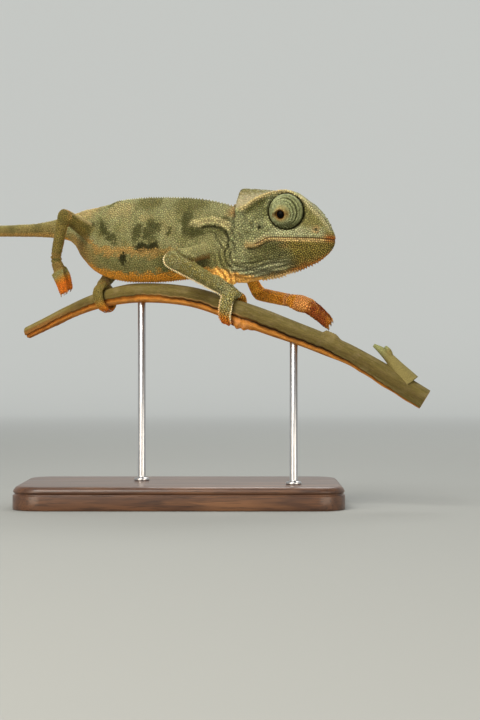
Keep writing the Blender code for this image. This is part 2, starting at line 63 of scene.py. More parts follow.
MM = 0.001
UP = np.array((0.0, 0.0, 1.0))
chance = np.random.default_rng(11)
print("solids:", len(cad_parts), "box:", [round(v, 4) for corner in cad_box for v in corner])

# %% [markdown]
# ## Curves through a few named places
#
# A sculptor pins down a few sizes and lets the clay run smoothly between them. `smooth_between` does that
# for numbers: it is a chain of cubic pieces whose slopes come from the neighbouring places.

# %% Smooth numbers
def turns(sides):
    """Equal steps of angle round a circle."""
    return np.linspace(0, math.tau, sides, endpoint=False)


def spokes(turn, first, second):
    """Directions round a circle: the turn's cosine times one direction plus its sine times another."""
    first, second = np.asarray(first), np.asarray(second)
    return np.cos(turn)[..., None] * first[..., None, :] + np.sin(turn)[..., None] * second[..., None, :]


def norm(vectors):
    """Each vector's length."""
    return np.linalg.norm(vectors, axis=-1)


def unit(vectors):
    """Each vector divided by its own length."""
    vectors = np.asarray(vectors, float)
    return vectors / np.maximum(norm(vectors)[..., None], 1e-9)


def smooth_between(knots, values, at):
    """Cubic pieces through the values at the knots, with slopes taken from the neighbouring knots."""
    knots = np.asarray(knots, float)
    values = np.asarray(values, float).reshape(len(knots), -1)
    slope = np.gradient(values, knots, axis=0)
    at = np.clip(at, knots[0], knots[-1])
    i = np.clip(np.searchsorted(knots, at, "right") - 1, 0, len(knots) - 2)
    step = (knots[i + 1] - knots[i])[:, None]
    t = (at - knots[i])[:, None] / step
    return ((2 * t**3 - 3 * t**2 + 1) * values[i] + (t**3 - 2 * t**2 + t) * step * slope[i]
            + (3 * t**2 - 2 * t**3) * values[i + 1] + (t**3 - t**2) * step * slope[i + 1])


def profile(outline, at):
    """One number for each place, read from an outline of (place, number) pairs and held beyond its ends."""
    points = np.asarray(outline, float)
    at = np.asarray(at, float)
    return smooth_between(points[:, 0], points[:, 1], at.ravel())[:, 0].reshape(at.shape)


def run_of(points):
    """The distance along a line of points."""
    steps = norm(np.diff(np.asarray(points, float)[:, :3], axis=0))
    return np.concatenate([[0], np.cumsum(steps)])


def along(stations, distances):
    """The stations' columns at these distances along their first three columns."""
    return smooth_between(run_of(stations), stations, np.asarray(distances, float))


def ease(low, high, x):
    """0 below low, 1 above high, and a smooth step between them."""
    t = np.clip((x - low) / (high - low), 0, 1)
    return t * t * (3 - 2 * t)


def fade(low, high, x):
    """1 below low and 0 above high: one minus the smooth step."""
    return 1 - ease(low, high, x)


def within(start, full, wane, end, x):
    """0 outside start and end, 1 from full to wane: a smooth step up times a smooth step down."""
    return ease(start, full, x) * fade(wane, end, x)


def bell(x, centre, width):
    """1 at the centre and a third at one width from it: exp(-t * t), where t is the distance in widths."""
    return np.exp(-((x - centre) / width) ** 2)


print("half way up a smooth step:", ease(0, 1, 0.5))

# %% [markdown]
# ## From arrays to a mesh
#
# `foreach_set` copies whole arrays into a mesh, which is far quicker than adding points one by one. A
# tube is rings of points joined by four-cornered faces, closed at each end by a fan round a middle point.

# %% Put arrays into a mesh
def volume_of(points, faces):
    """The sum over all faces of corner . (corner x corner) / 6, which is negative if they point inwards."""
    total = 0.0
    for i in range(1, faces.shape[1] - 1):
        a, b, c = points[faces[:, 0]], points[faces[:, i]], points[faces[:, i + 1]]
        total += np.einsum("ij,ij->", a, np.cross(b, c)) / 6
    return total


def make_piece(name, points, *face_sets, scale=MM):
    """A mesh object from points and from arrays of faces with a like number of corners, turned outwards."""
    points = np.asarray(points, float)
    middle = points - points.mean(0)
    if sum(volume_of(middle, faces) for faces in face_sets) < 0:
        face_sets = [faces[:, ::-1] for faces in face_sets]
    mesh = bpy.data.meshes.new(name)
    mesh.vertices.add(len(points))
    mesh.vertices.foreach_set("co", (points * scale).astype(np.float32).ravel())
    corners = np.concatenate([faces.ravel() for faces in face_sets])
    sizes = np.concatenate([np.full(len(faces), faces.shape[1]) for faces in face_sets])
    mesh.loops.add(len(corners))
    mesh.loops.foreach_set("vertex_index", corners.astype(np.int32))
    mesh.polygons.add(len(sizes))
    mesh.polygons.foreach_set("loop_start", (np.cumsum(sizes) - sizes).astype(np.int32))
    mesh.update(calc_edges=True)
    mesh.shade_smooth()
    piece = bpy.data.objects.new(name, mesh)
    bpy.context.scene.collection.objects.link(piece)
    return piece


def tube_faces(rings, sides):
    """Quads between closed rings, and the two end fans round the points that follow the rings."""
    ring = np.arange(rings - 1)[:, None] * sides
    here = np.arange(sides)[None, :]
    after = (here + 1) % sides
    quads = np.stack([ring + here, ring + after, ring + sides + after, ring + sides + here], -1)
    quads = quads.reshape(-1, 4)
    first, last = rings * sides, rings * sides + 1
    here, after = here[0], after[0]
    low = np.stack([np.full(sides, first), after, here], 1)
    end = (rings - 1) * sides
    high = np.stack([np.full(sides, last), end + here, end + after], 1)
    return quads, np.concatenate([low, high])


def tube_points(grid):
    """The points of a grid of rings, then the middle of the first ring and the middle of the last."""
    return np.concatenate([grid.reshape(-1, 3), grid[:1].mean(1), grid[-1:].mean(1)])


def join_tubes(grids):
    """The points, quads and end fans of several tubes, one after another."""
    points, quads, fans, offset = [], [], [], 0
    for grid in grids:
        between, ends = tube_faces(*grid.shape[:2])
        points.append(tube_points(grid))
        quads.append(between + offset)
        fans.append(ends + offset)
        offset += len(points[-1])
    return [np.concatenate(blocks) for blocks in (points, quads, fans)]


def paint(piece, colours):
    """Keeps one colour for each point, for the material to read."""
    layer = piece.data.color_attributes.new("Markings", "FLOAT_COLOR", "POINT")
    rows = np.column_stack([colours, np.ones(len(colours))])
    layer.data.foreach_set("color", rows.astype(np.float32).ravel())


def measure(piece, name, values):
    """Keeps one number, or one vector, for each point."""
    values = np.asarray(values, np.float32)
    kind, field = ("FLOAT", "value") if values.ndim == 1 else ("FLOAT_VECTOR", "vector")
    piece.data.attributes.new(name, kind, "POINT").data.foreach_set(field, values.ravel())


def tube_piece(name, grid):
    """A closed tube as a piece."""
    return make_piece(name, tube_points(grid), *tube_faces(*grid.shape[:2]))


def triangles_of(piece):
    """The sum over a piece's faces of their corners less two."""
    return int(sum(len(face.vertices) - 2 for face in piece.data.polygons))


print("quads and end faces of a tube of 3 rings of 8:", [len(faces) for faces in tube_faces(3, 8)])

# %% [markdown]
# ## The animal's own sizes
#
# The same named sizes that made the solids are used again here, so that the skin fits them: the stations
# of the body (place, half height, half width and how much narrower the back is), the outlines of the head
# from the side and from above, the joints of the limbs and the line of the twig.

# %% Sizes shared with the solids
HEAD_AT = np.array((16.5, -15.5, 79.6))
HEAD_YAW = math.radians(-8)
HEAD_LENGTH = 30
EYE_AT = (15.9, 4.4, 8)
EYE_RADII = (5.3, 4.4, 5.45)
TAIL_STRAIGHT, TAIL_CURL_LENGTH, TAIL_CURL_RADII, TAIL_TIP = 6, 52, (8.5, 1.6), 0.4
BODY = (
    (20, -16.9, 77.3, 11.1, 4.3, 0.05), (16.5, -15.5, 78.1, 11.3, 4.5, 0.10),
    (12.6, -13.4, 79.2, 11.3, 4.8, 0.15), (7.5, -10, 80.3, 11.7, 5.2, 0.22),
    (1.4, -5.4, 80.6, 12.4, 5.7, 0.28), (-4.8, -1, 80.6, 12.85, 6.2, 0.30),
    (-11.1, 3.5, 80.7, 12.95, 6.4, 0.30), (-17.5, 8, 80.9, 12.6, 6.1, 0.30),
    (-23, 12, 81.6, 11.4, 5.4, 0.26), (-27.2, 15.2, 83.2, 9.2, 4.6, 0.20),
    (-30.6, 17.8, 84.7, 6.8, 3.9, 0.12), (-33.9, 20.2, 85.4, 4.7, 3.1, 0.05),
    (-39, 23.9, 85.5, 3.3, 2.5, 0), (-45.1, 28.2, 85.4, 2.4, 2.1, 0),
    (-52.4, 33.3, 85.5, 2.1, 1.9, 0), (-59.6, 38.3, 85.7, 1.95, 1.75, 0),
)
PERCH = (
    (-49.9, 32, 52.6, 2), (-42.4, 27, 56, 2.1), (-34, 21, 59.7, 2.25), (-25.7, 14.5, 62.5, 2.6),
    (-15.9, 7, 64.3, 3.05), (-6.4, -0.5, 64.2, 3.1), (6, -9, 62.2, 3.1), (14.4, -13, 59.4, 3.3),
    (24.5, -15, 55.6, 3.6), (35.8, -16, 51.4, 3.3), (44.7, -16.5, 47.9, 3.2), (51.5, -17, 44.9, 3),
    (61.5, -18, 39, 3.2), (72.6, -19, 32.2, 3.2),
)
CROWN = ((0, 10.2), (0.5, 11.8), (0.9, 13.4), (1.3, 14.6), (1.9, 15.3), (2.8, 15.5), (5, 15.4), (8, 15.15),
         (12.8, 14.7), (16, 14.5), (18.8, 13.8), (21, 12.6), (22.6, 11.5), (25.2, 9.5), (26.7, 7.7),
         (28.4, 4.7), (29.5, 2.4), (30, 0.7))
THROAT = ((0, -12.8), (3, -12.95), (5.5, -12.65), (8, -12.15), (12, -11.45), (15.5, -10.5), (19, -9.35),
          (22, -8.2), (25.2, -6.8), (27.3, -5.35), (29, -3.7), (29.7, -2.5), (30, -1.1))
RIDGE_UP = ((0, 8.8), (2, 9.2), (4, 9.9), (6.1, 11.5), (9, 13.0), (11.6, 13.9), (14, 14.3), (16.5, 14.1),
            (20, 12.2), (23, 10.2), (26, 7.7), (28.3, 4.7), (30, 0.9))
RIDGE_OUT = ((0, 4), (2, 5), (5, 5.6), (9, 5.4), (12, 4.7), (16, 4.2), (20, 3.9), (23, 3.4), (26, 2.7),
             (28.3, 1.9), (29.5, 1.1), (30, 0.5))
CHEEK_OUT = ((0, 4.8), (3, 6.4), (7, 7.2), (11, 6.9), (15, 6.3), (19, 5.6), (23, 4.6), (26, 3.6),
             (28.3, 2.5), (29.5, 1.5), (30, 0.7))
JAW_OUT = ((0, 4.8), (3, 6), (7, 6.6), (11, 6.4), (15, 5.9), (19, 5.1), (23, 4.2), (26, 3.2), (28.3, 2.2),
           (29.5, 1.4), (30, 0.6))
MOUTH = ((4.9, -1.8), (6.1, -1.85), (7.4, -1.5), (8.8, -0.75), (10, -0.05), (11.2, 0.3), (13, 0.35),
         (16, 0.3), (20, 0.22), (25, 0.1), (28, -0.1), (31.5, -0.35))
LIMBS = {
    "arm_right": ((12.5, -12.5, 77.7), (-1.7, -22, 73.6), (13, -15.4, 65.3), (2.8, 2.4, 2.8, 2.45, 2.15)),
    "arm_left": ((18, -6.5, 75), (23.8, 0.5, 64.1), (33.2, -9.2, 61.8), (2.4, 1.9, 2.2, 2.1, 2.1)),
    "leg_right": ((-27, 13.6, 82.6), (-36, 4, 88.6), (-38.8, 6.6, 75.4), (3.2, 2.5, 2.1, 1.9, 1.7)),
    "leg_left": ((-26.5, 17.6, 82.2), (-19.5, 28, 75.5), (-25, 18.2, 67.6), (3.2, 2.8, 2.5, 2.3, 1.9)),
}
LIMBS = {limb: (*np.array(joints), radii) for limb, (*joints, radii) in LIMBS.items()}
GRIPS = {
    "hand_right": {"limb": "arm_right", "at": 0.552, "palm": 0.6, "arc": (84, -60),
                   "outer": (-1, 2, 0, 2.1), "inner": (1, 3, 1.7, 3.2)},
    "foot_left": {"limb": "leg_left", "at": 0.230, "palm": 0.5, "arc": (84, -58),
                  "outer": (1, 3, -0.4, -0.6), "inner": (-1, 2, 0.6, 1.2)},
}
REACHES = {
    "hand_left": {"limb": "arm_left", "sole": (38.4, -9.6, 60.3), "tip": (45.9, -10, 55.7),
                  "girth": (2.7, 2.5), "apart": (0.25, 0.95, 0.1), "outer": 2, "inner": 3},
    "foot_right": {"limb": "leg_right", "sole": (-37.6, 7.2, 71.2), "tip": (-34.2, 7.8, 65.4),
                   "girth": (1.9, 1.8), "apart": (0.35, 0.9, 0.2), "outer": 3, "inner": 2},
}
TOE_HALF, TOE_END = (2.3, 1.25), (1.85, 0.95)
GAP = 0.3
COAT = 0.22  # how far the skin lies inside the solids, which is about the height of a scale
print("body stations:", len(BODY), "limbs:", len(LIMBS))

# %% [markdown]
# ## Trunk and tail
#
# A chameleon's trunk is a tall, thin leaf of a shape, so it can press itself flat behind a twig. Each
# section is an oval whose width shrinks towards the back. The tail goes on from the last station, then
# rolls down and forward in a spiral whose radius falls evenly with its length.

# %% The body's surface
def spine():
    """Rows of x, y, z, half height, half width and narrowing along the body, and their sideways."""
    length = run_of(BODY)[-1]
    front = along(BODY, np.arange(0, length, 1))
    last = along(BODY, [length - 0.5, length])
    heading = unit((last[1] - last[0])[:3] * (1, 1, 0))
    reach = np.arange(0, TAIL_STRAIGHT + TAIL_CURL_LENGTH, 0.5)
    into_curl = np.clip(reach - TAIL_STRAIGHT, 0, None)
    wide, tight = TAIL_CURL_RADII
    shrink = (wide - tight) / TAIL_CURL_LENGTH
    turn = -np.log(1 - shrink * into_curl / wide) / shrink
    steps = 0.5 * (np.cos(turn)[:, None] * heading - np.sin(turn)[:, None] * UP)
    tail = last[1, :3] + np.cumsum(steps, axis=0) - steps[0]
    thin = (reach / reach[-1])[:, None]
    sizes = last[1, 3:5] * (1 - thin) ** 0.9 + TAIL_TIP * thin
    rows = np.vstack([front, np.hstack([tail, sizes, np.zeros((len(reach), 1))])])
    plan = np.gradient(rows[:, :2], axis=0)
    plan[len(front):] = heading[:2]
    plan = unit(plan)
    return rows, np.stack([plan[:, 1], -plan[:, 0], np.zeros(len(rows))], 1)


SPINE, SIDEWAYS = spine()
SPINE_RUN = run_of(SPINE)
BODY_START, BODY_LENGTH = 0.3, SPINE_RUN[-1]


def body_surface(distance, turn):
    """The point at a distance along the spine and a turn round it: 0 is the back, a half turn the belly."""
    row = smooth_between(SPINE_RUN, SPINE, distance)
    side = unit(smooth_between(SPINE_RUN, SIDEWAYS, distance))
    tangent = unit(smooth_between(SPINE_RUN, np.gradient(SPINE[:, :3], SPINE_RUN, axis=0), distance))
    over = np.cross(side, tangent)
    out = np.sin(turn) * (1 - row[:, 5] * np.cos(turn))
    return row[:, :3] + (row[:, 3] * np.cos(turn))[:, None] * over + (row[:, 4] * out)[:, None] * side


def on_grid(rows, turns, surface):
    """A surface's points for every pair of a row value and a turn."""
    a, b = np.meshgrid(rows, turns, indexing="ij")
    return surface(a.ravel(), b.ravel()).reshape(len(rows), len(turns), 3)


def spine_place(share):
    """The distance along the spine of a share of the way along the body's form."""
    return BODY_START + share * (BODY_LENGTH - BODY_START)


forms = {"body": on_grid(np.linspace(BODY_START, BODY_LENGTH, 260), turns(96), body_surface)}
print("body length:", round(BODY_LENGTH, 1), "mm")

# %% [markdown]
# ## The head
#
# From the side a chameleon's head is a helmet, the casque, over a deep jaw. A crest runs from each
# nostril over the eye and down to the back of the head, and the roof between the two crests is a low
# ridge. Each section is therefore two curves that meet at the crests: one over the crown, one under the
# throat.

# %% The head's surface
FORWARD = np.array((math.cos(HEAD_YAW), math.sin(HEAD_YAW), 0))
LEFT = np.array((-math.sin(HEAD_YAW), math.cos(HEAD_YAW), 0))


def on_head(points):
    """Head coordinates (forward, left, up) placed in the world."""
    points = np.asarray(points, float)
    return HEAD_AT + points[..., 0:1] * FORWARD + points[..., 1:2] * LEFT + points[..., 2:3] * UP


def to_head(points):
    """World points in head coordinates."""
    local = points - HEAD_AT
    return np.stack([local @ FORWARD, local @ LEFT, local @ UP], -1)


def head_rings(count, steps):
    """Sections of the head: a curve over the crown, from crest to crest, and one under the throat."""
    share = np.linspace(0, 1, count)
    forward = HEAD_LENGTH * (1 - (1 - share) ** 1.35)
    crown, throat = profile(CROWN, forward), profile(THROAT, forward)
    ridge_up, ridge_out = profile(RIDGE_UP, forward), profile(RIDGE_OUT, forward)
    cheek, jaw = profile(CHEEK_OUT, forward), profile(JAW_OUT, forward)
    none = np.zeros(count)
    half = np.stack([
        np.stack([none, crown], 1),
        np.stack([0.5 * ridge_out, 0.55 * crown + 0.45 * ridge_up], 1),
        np.stack([ridge_out, ridge_up], 1),
        np.stack([0.92 * ridge_out + 0.08 * cheek, 0.66 * ridge_up + 0.1 * crown], 1),
        np.stack([cheek, 0.28 * crown], 1),
        np.stack([cheek, none], 1),
        np.stack([jaw, 0.22 * throat], 1),
        np.stack([0.9 * jaw, 0.55 * throat], 1),
        np.stack([0.52 * jaw, 0.88 * throat], 1),
        np.stack([none, throat], 1),
    ], 1)
    other = half * (-1, 1)
    over = np.concatenate([other[:, 2:0:-1], half[:, :3]], 1)
    under = np.concatenate([half[:, 2:], other[:, 8:1:-1]], 1)
    loops = []
    for line in (over, under):
        keys = np.arange(line.shape[1])
        at = np.linspace(0, keys[-1], keys[-1] * steps, endpoint=False)
        smooth = smooth_between(keys, line.transpose(1, 0, 2).reshape(len(keys), -1), at)
        loops.append(smooth.reshape(len(at), count, 2))
    section = np.concatenate(loops).transpose(1, 0, 2)
    rings = np.empty((*section.shape[:2], 3))
    rings[..., 0] = forward[:, None]
    rings[..., 1:] = section
    return rings


forms["head"] = on_head(head_rings(90, 8))
print("head rings:", forms["head"].shape[:2])

# %% [markdown]
# ## Limbs and feet
#
# A limb segment is a tube whose radius swells and shrinks, with a round end on each joint. A chameleon's
# toes are bound into two bundles, two toes against three, like a pair of tongs. Each bundle here is one
# flattened tube with a shallow valley between its toes. On the twig a bundle follows an arc round it.

# %% Limbs and toes
def bone(start, end, radii, count=16, sides=32):
    """A tube from joint to joint: a circle whose radius is read along it, with half a ball at each end."""
    start, end = np.asarray(start, float), np.asarray(end, float)
    length = np.linalg.norm(end - start)
    forward = (end - start) / length
    side = unit(np.cross(forward, UP if abs(forward[2]) < 0.9 else (1, 0, 0)))
    over = np.cross(side, forward)
    at = np.linspace(0, length, count)
    radius = smooth_between(np.linspace(0, length, len(radii)), radii, at)[:, 0]
    cap = np.radians(np.linspace(10, 75, 6))
    at = np.concatenate([-radius[0] * np.cos(cap), at, length + radius[-1] * np.cos(cap[::-1])])
    radius = np.concatenate([radius[0] * np.sin(cap), radius, radius[-1] * np.sin(cap[::-1])])
    return start + at[:, None, None] * forward + radius[:, None, None] * spokes(turns(sides), side, over)


def toe_bundle(centres, across, over, sizes, toes, sides=40):
    """An oval tube whose thickness dips between one toe and the next, more and more towards the tips."""
    turn = turns(sides)
    place = (np.cos(turn) + 1) / 2
    dip = np.linspace(0.15, 0.75, len(centres))[:, None]
    swell = 1 - dip + dip * np.abs(np.sin(math.pi * toes * place)) ** 0.6
    wide = sizes[:, 0, None] * np.cos(turn)
    thick = sizes[:, 1, None] * np.sin(turn) * swell
    return centres[:, None] + wide[..., None] * across[:, None] + thick[..., None] * over[:, None]


def toe_sizes(share):
    """Half width and half thickness of a bundle, from root to end by the share to the power 1.5."""
    root, end = np.array(TOE_HALF), np.array(TOE_END)
    return root + share[:, None] ** 1.5 * (end - root)


def perch_frame(fraction):
    """Centre, radius and the three directions of the twig at a fraction of its length."""
    place = fraction * run_of(PERCH)[-1]
    here = along(PERCH, [place - 0.5, place, place + 0.5])
    forward = unit((here[2] - here[0])[:3])
    left = unit(np.cross(UP, forward))
    return here[1, :3], here[1, 3], forward, left, np.cross(forward, left)


def rounded_off(centres, sizes, length=0.7, steps=5):
    """Adds a few rings past the last one that close it like the end of a thumb."""
    heading = unit(centres[-1] - centres[-2])
    bend = np.radians(np.linspace(18, 82, steps))
    more = centres[-1] + length * np.sin(bend)[:, None] * heading
    return np.vstack([centres, more]), np.vstack([sizes, sizes[-1] * np.cos(bend)[:, None]])


def toe_tips(centre, back, across, heading, toes):
    """A short rounded finger for each toe at the end of its bundle."""
    width = 1.9 * TOE_END[0] / toes
    size = min(0.46 * width, 0.72)
    for toe in range(toes):
        middle = centre + (toe - (toes - 1) / 2) * width * across
        tips.append(bone(middle - back, middle + 0.45 * heading, (0.8, size), 6, 20))


print("toe bundles taper to", TOE_END, "mm")

# %% [markdown]
# Two feet hold the twig and two hang in the air. A holding bundle starts beside the palm on top of the
# twig and runs down round its side. A hanging one leaves the sole, parts from its fellow, then curls a
# little inwards.

# %% Feet
claw_roots = []  # centre, sideways, forward, inward and number of claws, for each bundle of toes
tips = []


def add_bundle(name, toes, centres, sizes, sideways, heading, inward, back, over=None):
    """Keeps a bundle's tube, with rings across its line, its finger tips and the place of its claws."""
    claw_roots.append((name, centres[-1], sideways, heading, inward, toes))
    toe_tips(centres[-1], back, sideways, heading, toes)
    line, sizes = rounded_off(centres, sizes)
    across = np.repeat(sideways[None], len(line), 0)
    if over is None:
        over = unit(np.cross(np.gradient(line, axis=0), across))
    else:
        over = np.vstack([over, np.repeat(over[-1:], len(line) - len(over), 0)])
    forms[name] = toe_bundle(line, across, over, sizes, toes)


def grip(foot, plan):
    """The palm and the two bundles of a foot that holds the twig."""
    centre, radius, forward, left, over = perch_frame(plan["at"])
    wrist, radii = LIMBS[plan["limb"]][2:]
    palm_end = centre + (radius + 1.5) * over + plan["palm"] * forward
    forms[f"{foot}_palm"] = bone(wrist, palm_end, (radii[4], 2.2, 2.1))
    for bundle in ("outer", "inner"):
        side, toes, start, end = plan[bundle]
        share = np.linspace(0, 1, 26)
        turn = np.radians(plan["arc"][0] + share * (plan["arc"][1] - plan["arc"][0]))
        sizes = toe_sizes(share)
        away = spokes(turn, side * left, over)
        lean = start + (end - start) * share**0.7
        centres = centre + (radius + GAP + 0.1 + sizes[:, 1])[:, None] * away + lean[:, None] * forward
        tip_forward = unit(np.sin(turn[-1]) * side * left - np.cos(turn[-1]) * over)
        add_bundle(f"{foot}_{bundle}", toes, centres, sizes, forward, tip_forward, -away[-1],
                   centres[-1] - centres[-5], away)


def reach(foot, plan):
    """The palm and the two bundles of a foot held in the air."""
    wrist, radii = LIMBS[plan["limb"]][2:]
    sole, tip = np.array(plan["sole"]), np.array(plan["tip"])
    forms[f"{foot}_palm"] = bone(wrist, sole, (radii[4], *plan["girth"]))
    forward = unit(tip - sole)
    apart = unit(np.array(plan["apart"]) - np.dot(plan["apart"], forward) * forward)
    sideways = unit(np.cross(apart, forward))
    curl = -sideways if sideways[2] > 0 else sideways
    length = np.linalg.norm(tip - sole)
    share = np.linspace(0, 1, 22)
    for bundle, side in (("outer", -1), ("inner", 1)):
        sizes = toe_sizes(share)
        spread = side * (TOE_HALF[1] + GAP + 0.9 * share - 0.5 * share**2)
        advance = share * (length - 0.4) - 0.6
        bend = 1.2 * share**2
        centres = sole + advance[:, None] * forward + spread[:, None] * apart + bend[:, None] * curl
        heading = unit(centres[-1] - centres[-2])
        inward = unit(curl - side * apart)
        add_bundle(f"{foot}_{bundle}", plan[bundle], centres, sizes, sideways, heading, inward, 1.6 * heading)


for limb, (shoulder, elbow, wrist, radii) in LIMBS.items():
    forms[f"{limb}_upper"] = bone(shoulder, elbow, radii[:3])
    forms[f"{limb}_lower"] = bone(elbow, wrist, radii[2:])
for foot, plan in GRIPS.items():
    grip(foot, plan)
for foot, plan in REACHES.items():
    reach(foot, plan)
print("forms under the skin:", len(forms))

# %% [markdown]
# ## One skin over everything
#
# The forms overlap, and a real animal has no seams. Blender's voxel remesh fills all of them with tiny
# cubes and wraps one even mesh round the whole. It works best on numbers near one, so it is done in
# millimetres and scaled down afterwards. A few rounds of smoothing then melt the limbs into the body.

# %% Join, remesh and smooth
VOXEL = 0.37
SMOOTH_ROUNDS, EVEN_ROUNDS = 26, 3  # the first rounds smooth the whole skin, and the others its soft places
SHOULDER_REACH = 6.5  # how far a limb's root melts into the body
SOFT_REACHES = (SHOULDER_REACH, 3.4, 3)
SOFT_PLACES = (  # where flesh runs from one form into the next: centre and reach
    *[pair for joints in LIMBS.values() for pair in zip(joints, SOFT_REACHES)],
    (on_head((0, 0, 6)), 6), (on_head((0, 0, -8)), 9),
)


def wrap(grids, voxel):
    """One closed mesh round all forms: its points, in millimetres, and its four-cornered faces."""
    raw = make_piece("raw", *join_tubes(grids), scale=1)
    remesh = raw.modifiers.new("one skin", "REMESH")
    remesh.mode = "VOXEL"
    remesh.voxel_size = voxel
    shrunk = raw.evaluated_get(bpy.context.evaluated_depsgraph_get())
    mesh = bpy.data.meshes.new_from_object(shrunk)
    found = np.empty(len(mesh.vertices) * 3, np.float32)
    mesh.vertices.foreach_get("co", found)
    corners = np.empty(len(mesh.loops), np.int32)
    mesh.loops.foreach_get("vertex_index", corners)
    bpy.data.objects.remove(raw)
    bpy.data.meshes.remove(mesh)
    return found.reshape(-1, 3).astype(float), corners.reshape(-1, 4)


def neighbours_mean(points, edges):
    """The mean of the points at the other ends of each point's edges."""
    total = np.empty_like(points)
    count = np.bincount(edges.ravel(), minlength=len(points))
    for axis in range(points.shape[1]):
        total[:, axis] = (np.bincount(edges[:, 0], points[edges[:, 1], axis], len(points))
                          + np.bincount(edges[:, 1], points[edges[:, 0], axis], len(points)))
    return total / np.maximum(count, 1)[:, None]


def normals_of(points, quads):
    """At each point, the mean of its faces' directions, each the cross product of the face's diagonals."""
    face = np.cross(points[quads[:, 2]] - points[quads[:, 0]], points[quads[:, 3]] - points[quads[:, 1]])
    face = np.repeat(face, 4, 0)
    return unit(np.stack([np.bincount(quads.ravel(), column, len(points)) for column in face.T], 1))


skin, skin_quads = wrap([*forms.values(), *tips], VOXEL)
edges = np.sort(np.concatenate([skin_quads[:, [i, (i + 1) % 4]] for i in range(4)]), axis=1)
edges = np.unique(edges, axis=0)
softness = np.zeros(len(skin))
for centre, reach_of in SOFT_PLACES:
    gone = norm(skin - centre)
    softness = np.maximum(softness, fade(0.45 * reach_of, reach_of, gone))
for number in range(SMOOTH_ROUNDS):
    weight = np.where(number < EVEN_ROUNDS, 0.5, 0.6 * softness)[:, None]
    skin += weight * (neighbours_mean(skin, edges) - skin)
skin_normals = normals_of(skin, skin_quads)
skin -= COAT * skin_normals
print("skin points:", len(skin), "faces:", len(skin_quads))

# %% [markdown]
# ## Who is near whom
#
# Scales crowd their neighbours, so the script needs to know which points lie near which. Sorting the
# points into cubes as wide as the reach means that only three rows of cubes in each of three layers have
# to be searched.

# %% Neighbours in space
def pairs_near(a, b, reach):
    """Pairs (i, j, distance) for which point i of a and point j of b lie nearer than the reach."""
    low = np.minimum(a.min(0), b.min(0)) - 2 * reach
    size = ((np.maximum(a.max(0), b.max(0)) - low) / reach).astype(int) + 3
    cubes_a, cubes_b = ((a - low) / reach).astype(int), ((b - low) / reach).astype(int)
    keys = (cubes_b[:, 0] * size[1] + cubes_b[:, 1]) * size[2] + cubes_b[:, 2]
    order = np.argsort(keys, kind="stable")
    keys = keys[order]
    found = []
    for dx in (-1, 0, 1):
        for dy in (-1, 0, 1):
            row = ((cubes_a[:, 0] + dx) * size[1] + cubes_a[:, 1] + dy) * size[2] + cubes_a[:, 2]
            start = np.searchsorted(keys, row - 1, "left")
            count = np.searchsorted(keys, row + 1, "right") - start
            i = np.repeat(np.arange(len(a)), count)
            j = order[np.arange(len(i)) + np.repeat(start - np.cumsum(count) + count, count)]
            gap = norm(a[i] - b[j])
            near = gap < reach
            found.append((i[near], j[near], gap[near]))
    return [np.concatenate(column) for column in zip(*found)]


def best_of(who, score):
    """Each index that occurs in who, and where in the list it has its lowest score."""
    order = np.lexsort((score, who))
    found, first = np.unique(who[order], return_index=True)
    return found, order[first]


def nearest(a, b, reaches=(1, 2.5, 8)):
    """For each point of a the index of the nearest point of b, searched with a small reach first."""
    found = np.zeros(len(a), int)
    waiting = np.arange(len(a))
    for reach in reaches:
        if len(waiting):
            i, j, gap = pairs_near(a[waiting], b, reach)
            who, best = best_of(i, gap)
            found[waiting[who]] = j[best]
            waiting = np.delete(waiting, who)
    return found


print("skin points round the nose:", len(pairs_near(on_head([[HEAD_LENGTH, 0, 0]]), skin, 2)[0]))

# %% [markdown]
# ## Where on the animal is this point?
#
# Folds and markings follow the body, so each point of the skin is told which form it lies on, how far
# along that form and at which turn round it. It takes these from the nearest sample of the forms'
# surfaces.

# %% Body coordinates of the skin
FORM_NAMES = list(forms)
atlas_points, atlas_form, atlas_along, atlas_turn = [], [], [], []
for number, grid in enumerate(forms.values()):
    rings, sides = grid.shape[:2]
    row, column = np.divmod(np.arange(rings * sides), sides)
    atlas_points.append(grid.reshape(-1, 3))
    atlas_form.append(np.full(rings * sides, number))
    atlas_along.append(row / (rings - 1))
    atlas_turn.append(column / sides)
atlas_points, atlas_form = np.concatenate(atlas_points), np.concatenate(atlas_form)
atlas_along, atlas_turn = np.concatenate(atlas_along), np.concatenate(atlas_turn)


def number_of(name):
    """A form's place in the list of forms."""
    return FORM_NAMES.index(name)


def place_on_body(points):
    """Each point's form number, its share of the way along that form and its share of the way round."""
    at = nearest(points, atlas_points)
    return atlas_form[at], atlas_along[at], atlas_turn[at]


skin_form, skin_along, skin_turn = place_on_body(skin)
print({name: int((skin_form == number).sum()) for number, name in enumerate(FORM_NAMES)})

# %% [markdown]
# ## Folds, lips and creases
#
# Skin that has to stretch lies in folds when it is slack: long ones along the throat, which fills with
# air, slanting ones on the neck, an arc round the shoulder and short creases at the wrists. Each is one
# formula for how far a point moves in or out, and they simply add up.

# %% Relief of the head
EYE_FORWARD, EYE_OUT, EYE_UP = EYE_AT
SOCKET = 5.25  # radius of the gap between the eyelid and the head
NOSTRIL = np.array((24.6, 4.1, 2.7))
SHOULDER_MOUND = np.array((9, 0, 78.3))  # centre of the folds round the near shoulder, from the side


def waves(points, size, seed, count=9):
    """Soft noise: the mean of sine waves in random directions, each about one size long, between -1 and 1."""
    draw = np.random.default_rng(seed)
    directions = unit(draw.normal(size=(count, 3))) * draw.uniform(0.7, 1.5, (count, 1))
    phases = draw.uniform(0, math.tau, count)
    total = np.sin(points @ directions.T * (math.tau / size) + phases).sum(1)
    return np.clip(total / math.sqrt(count), -1.5, 1.5) / 1.5


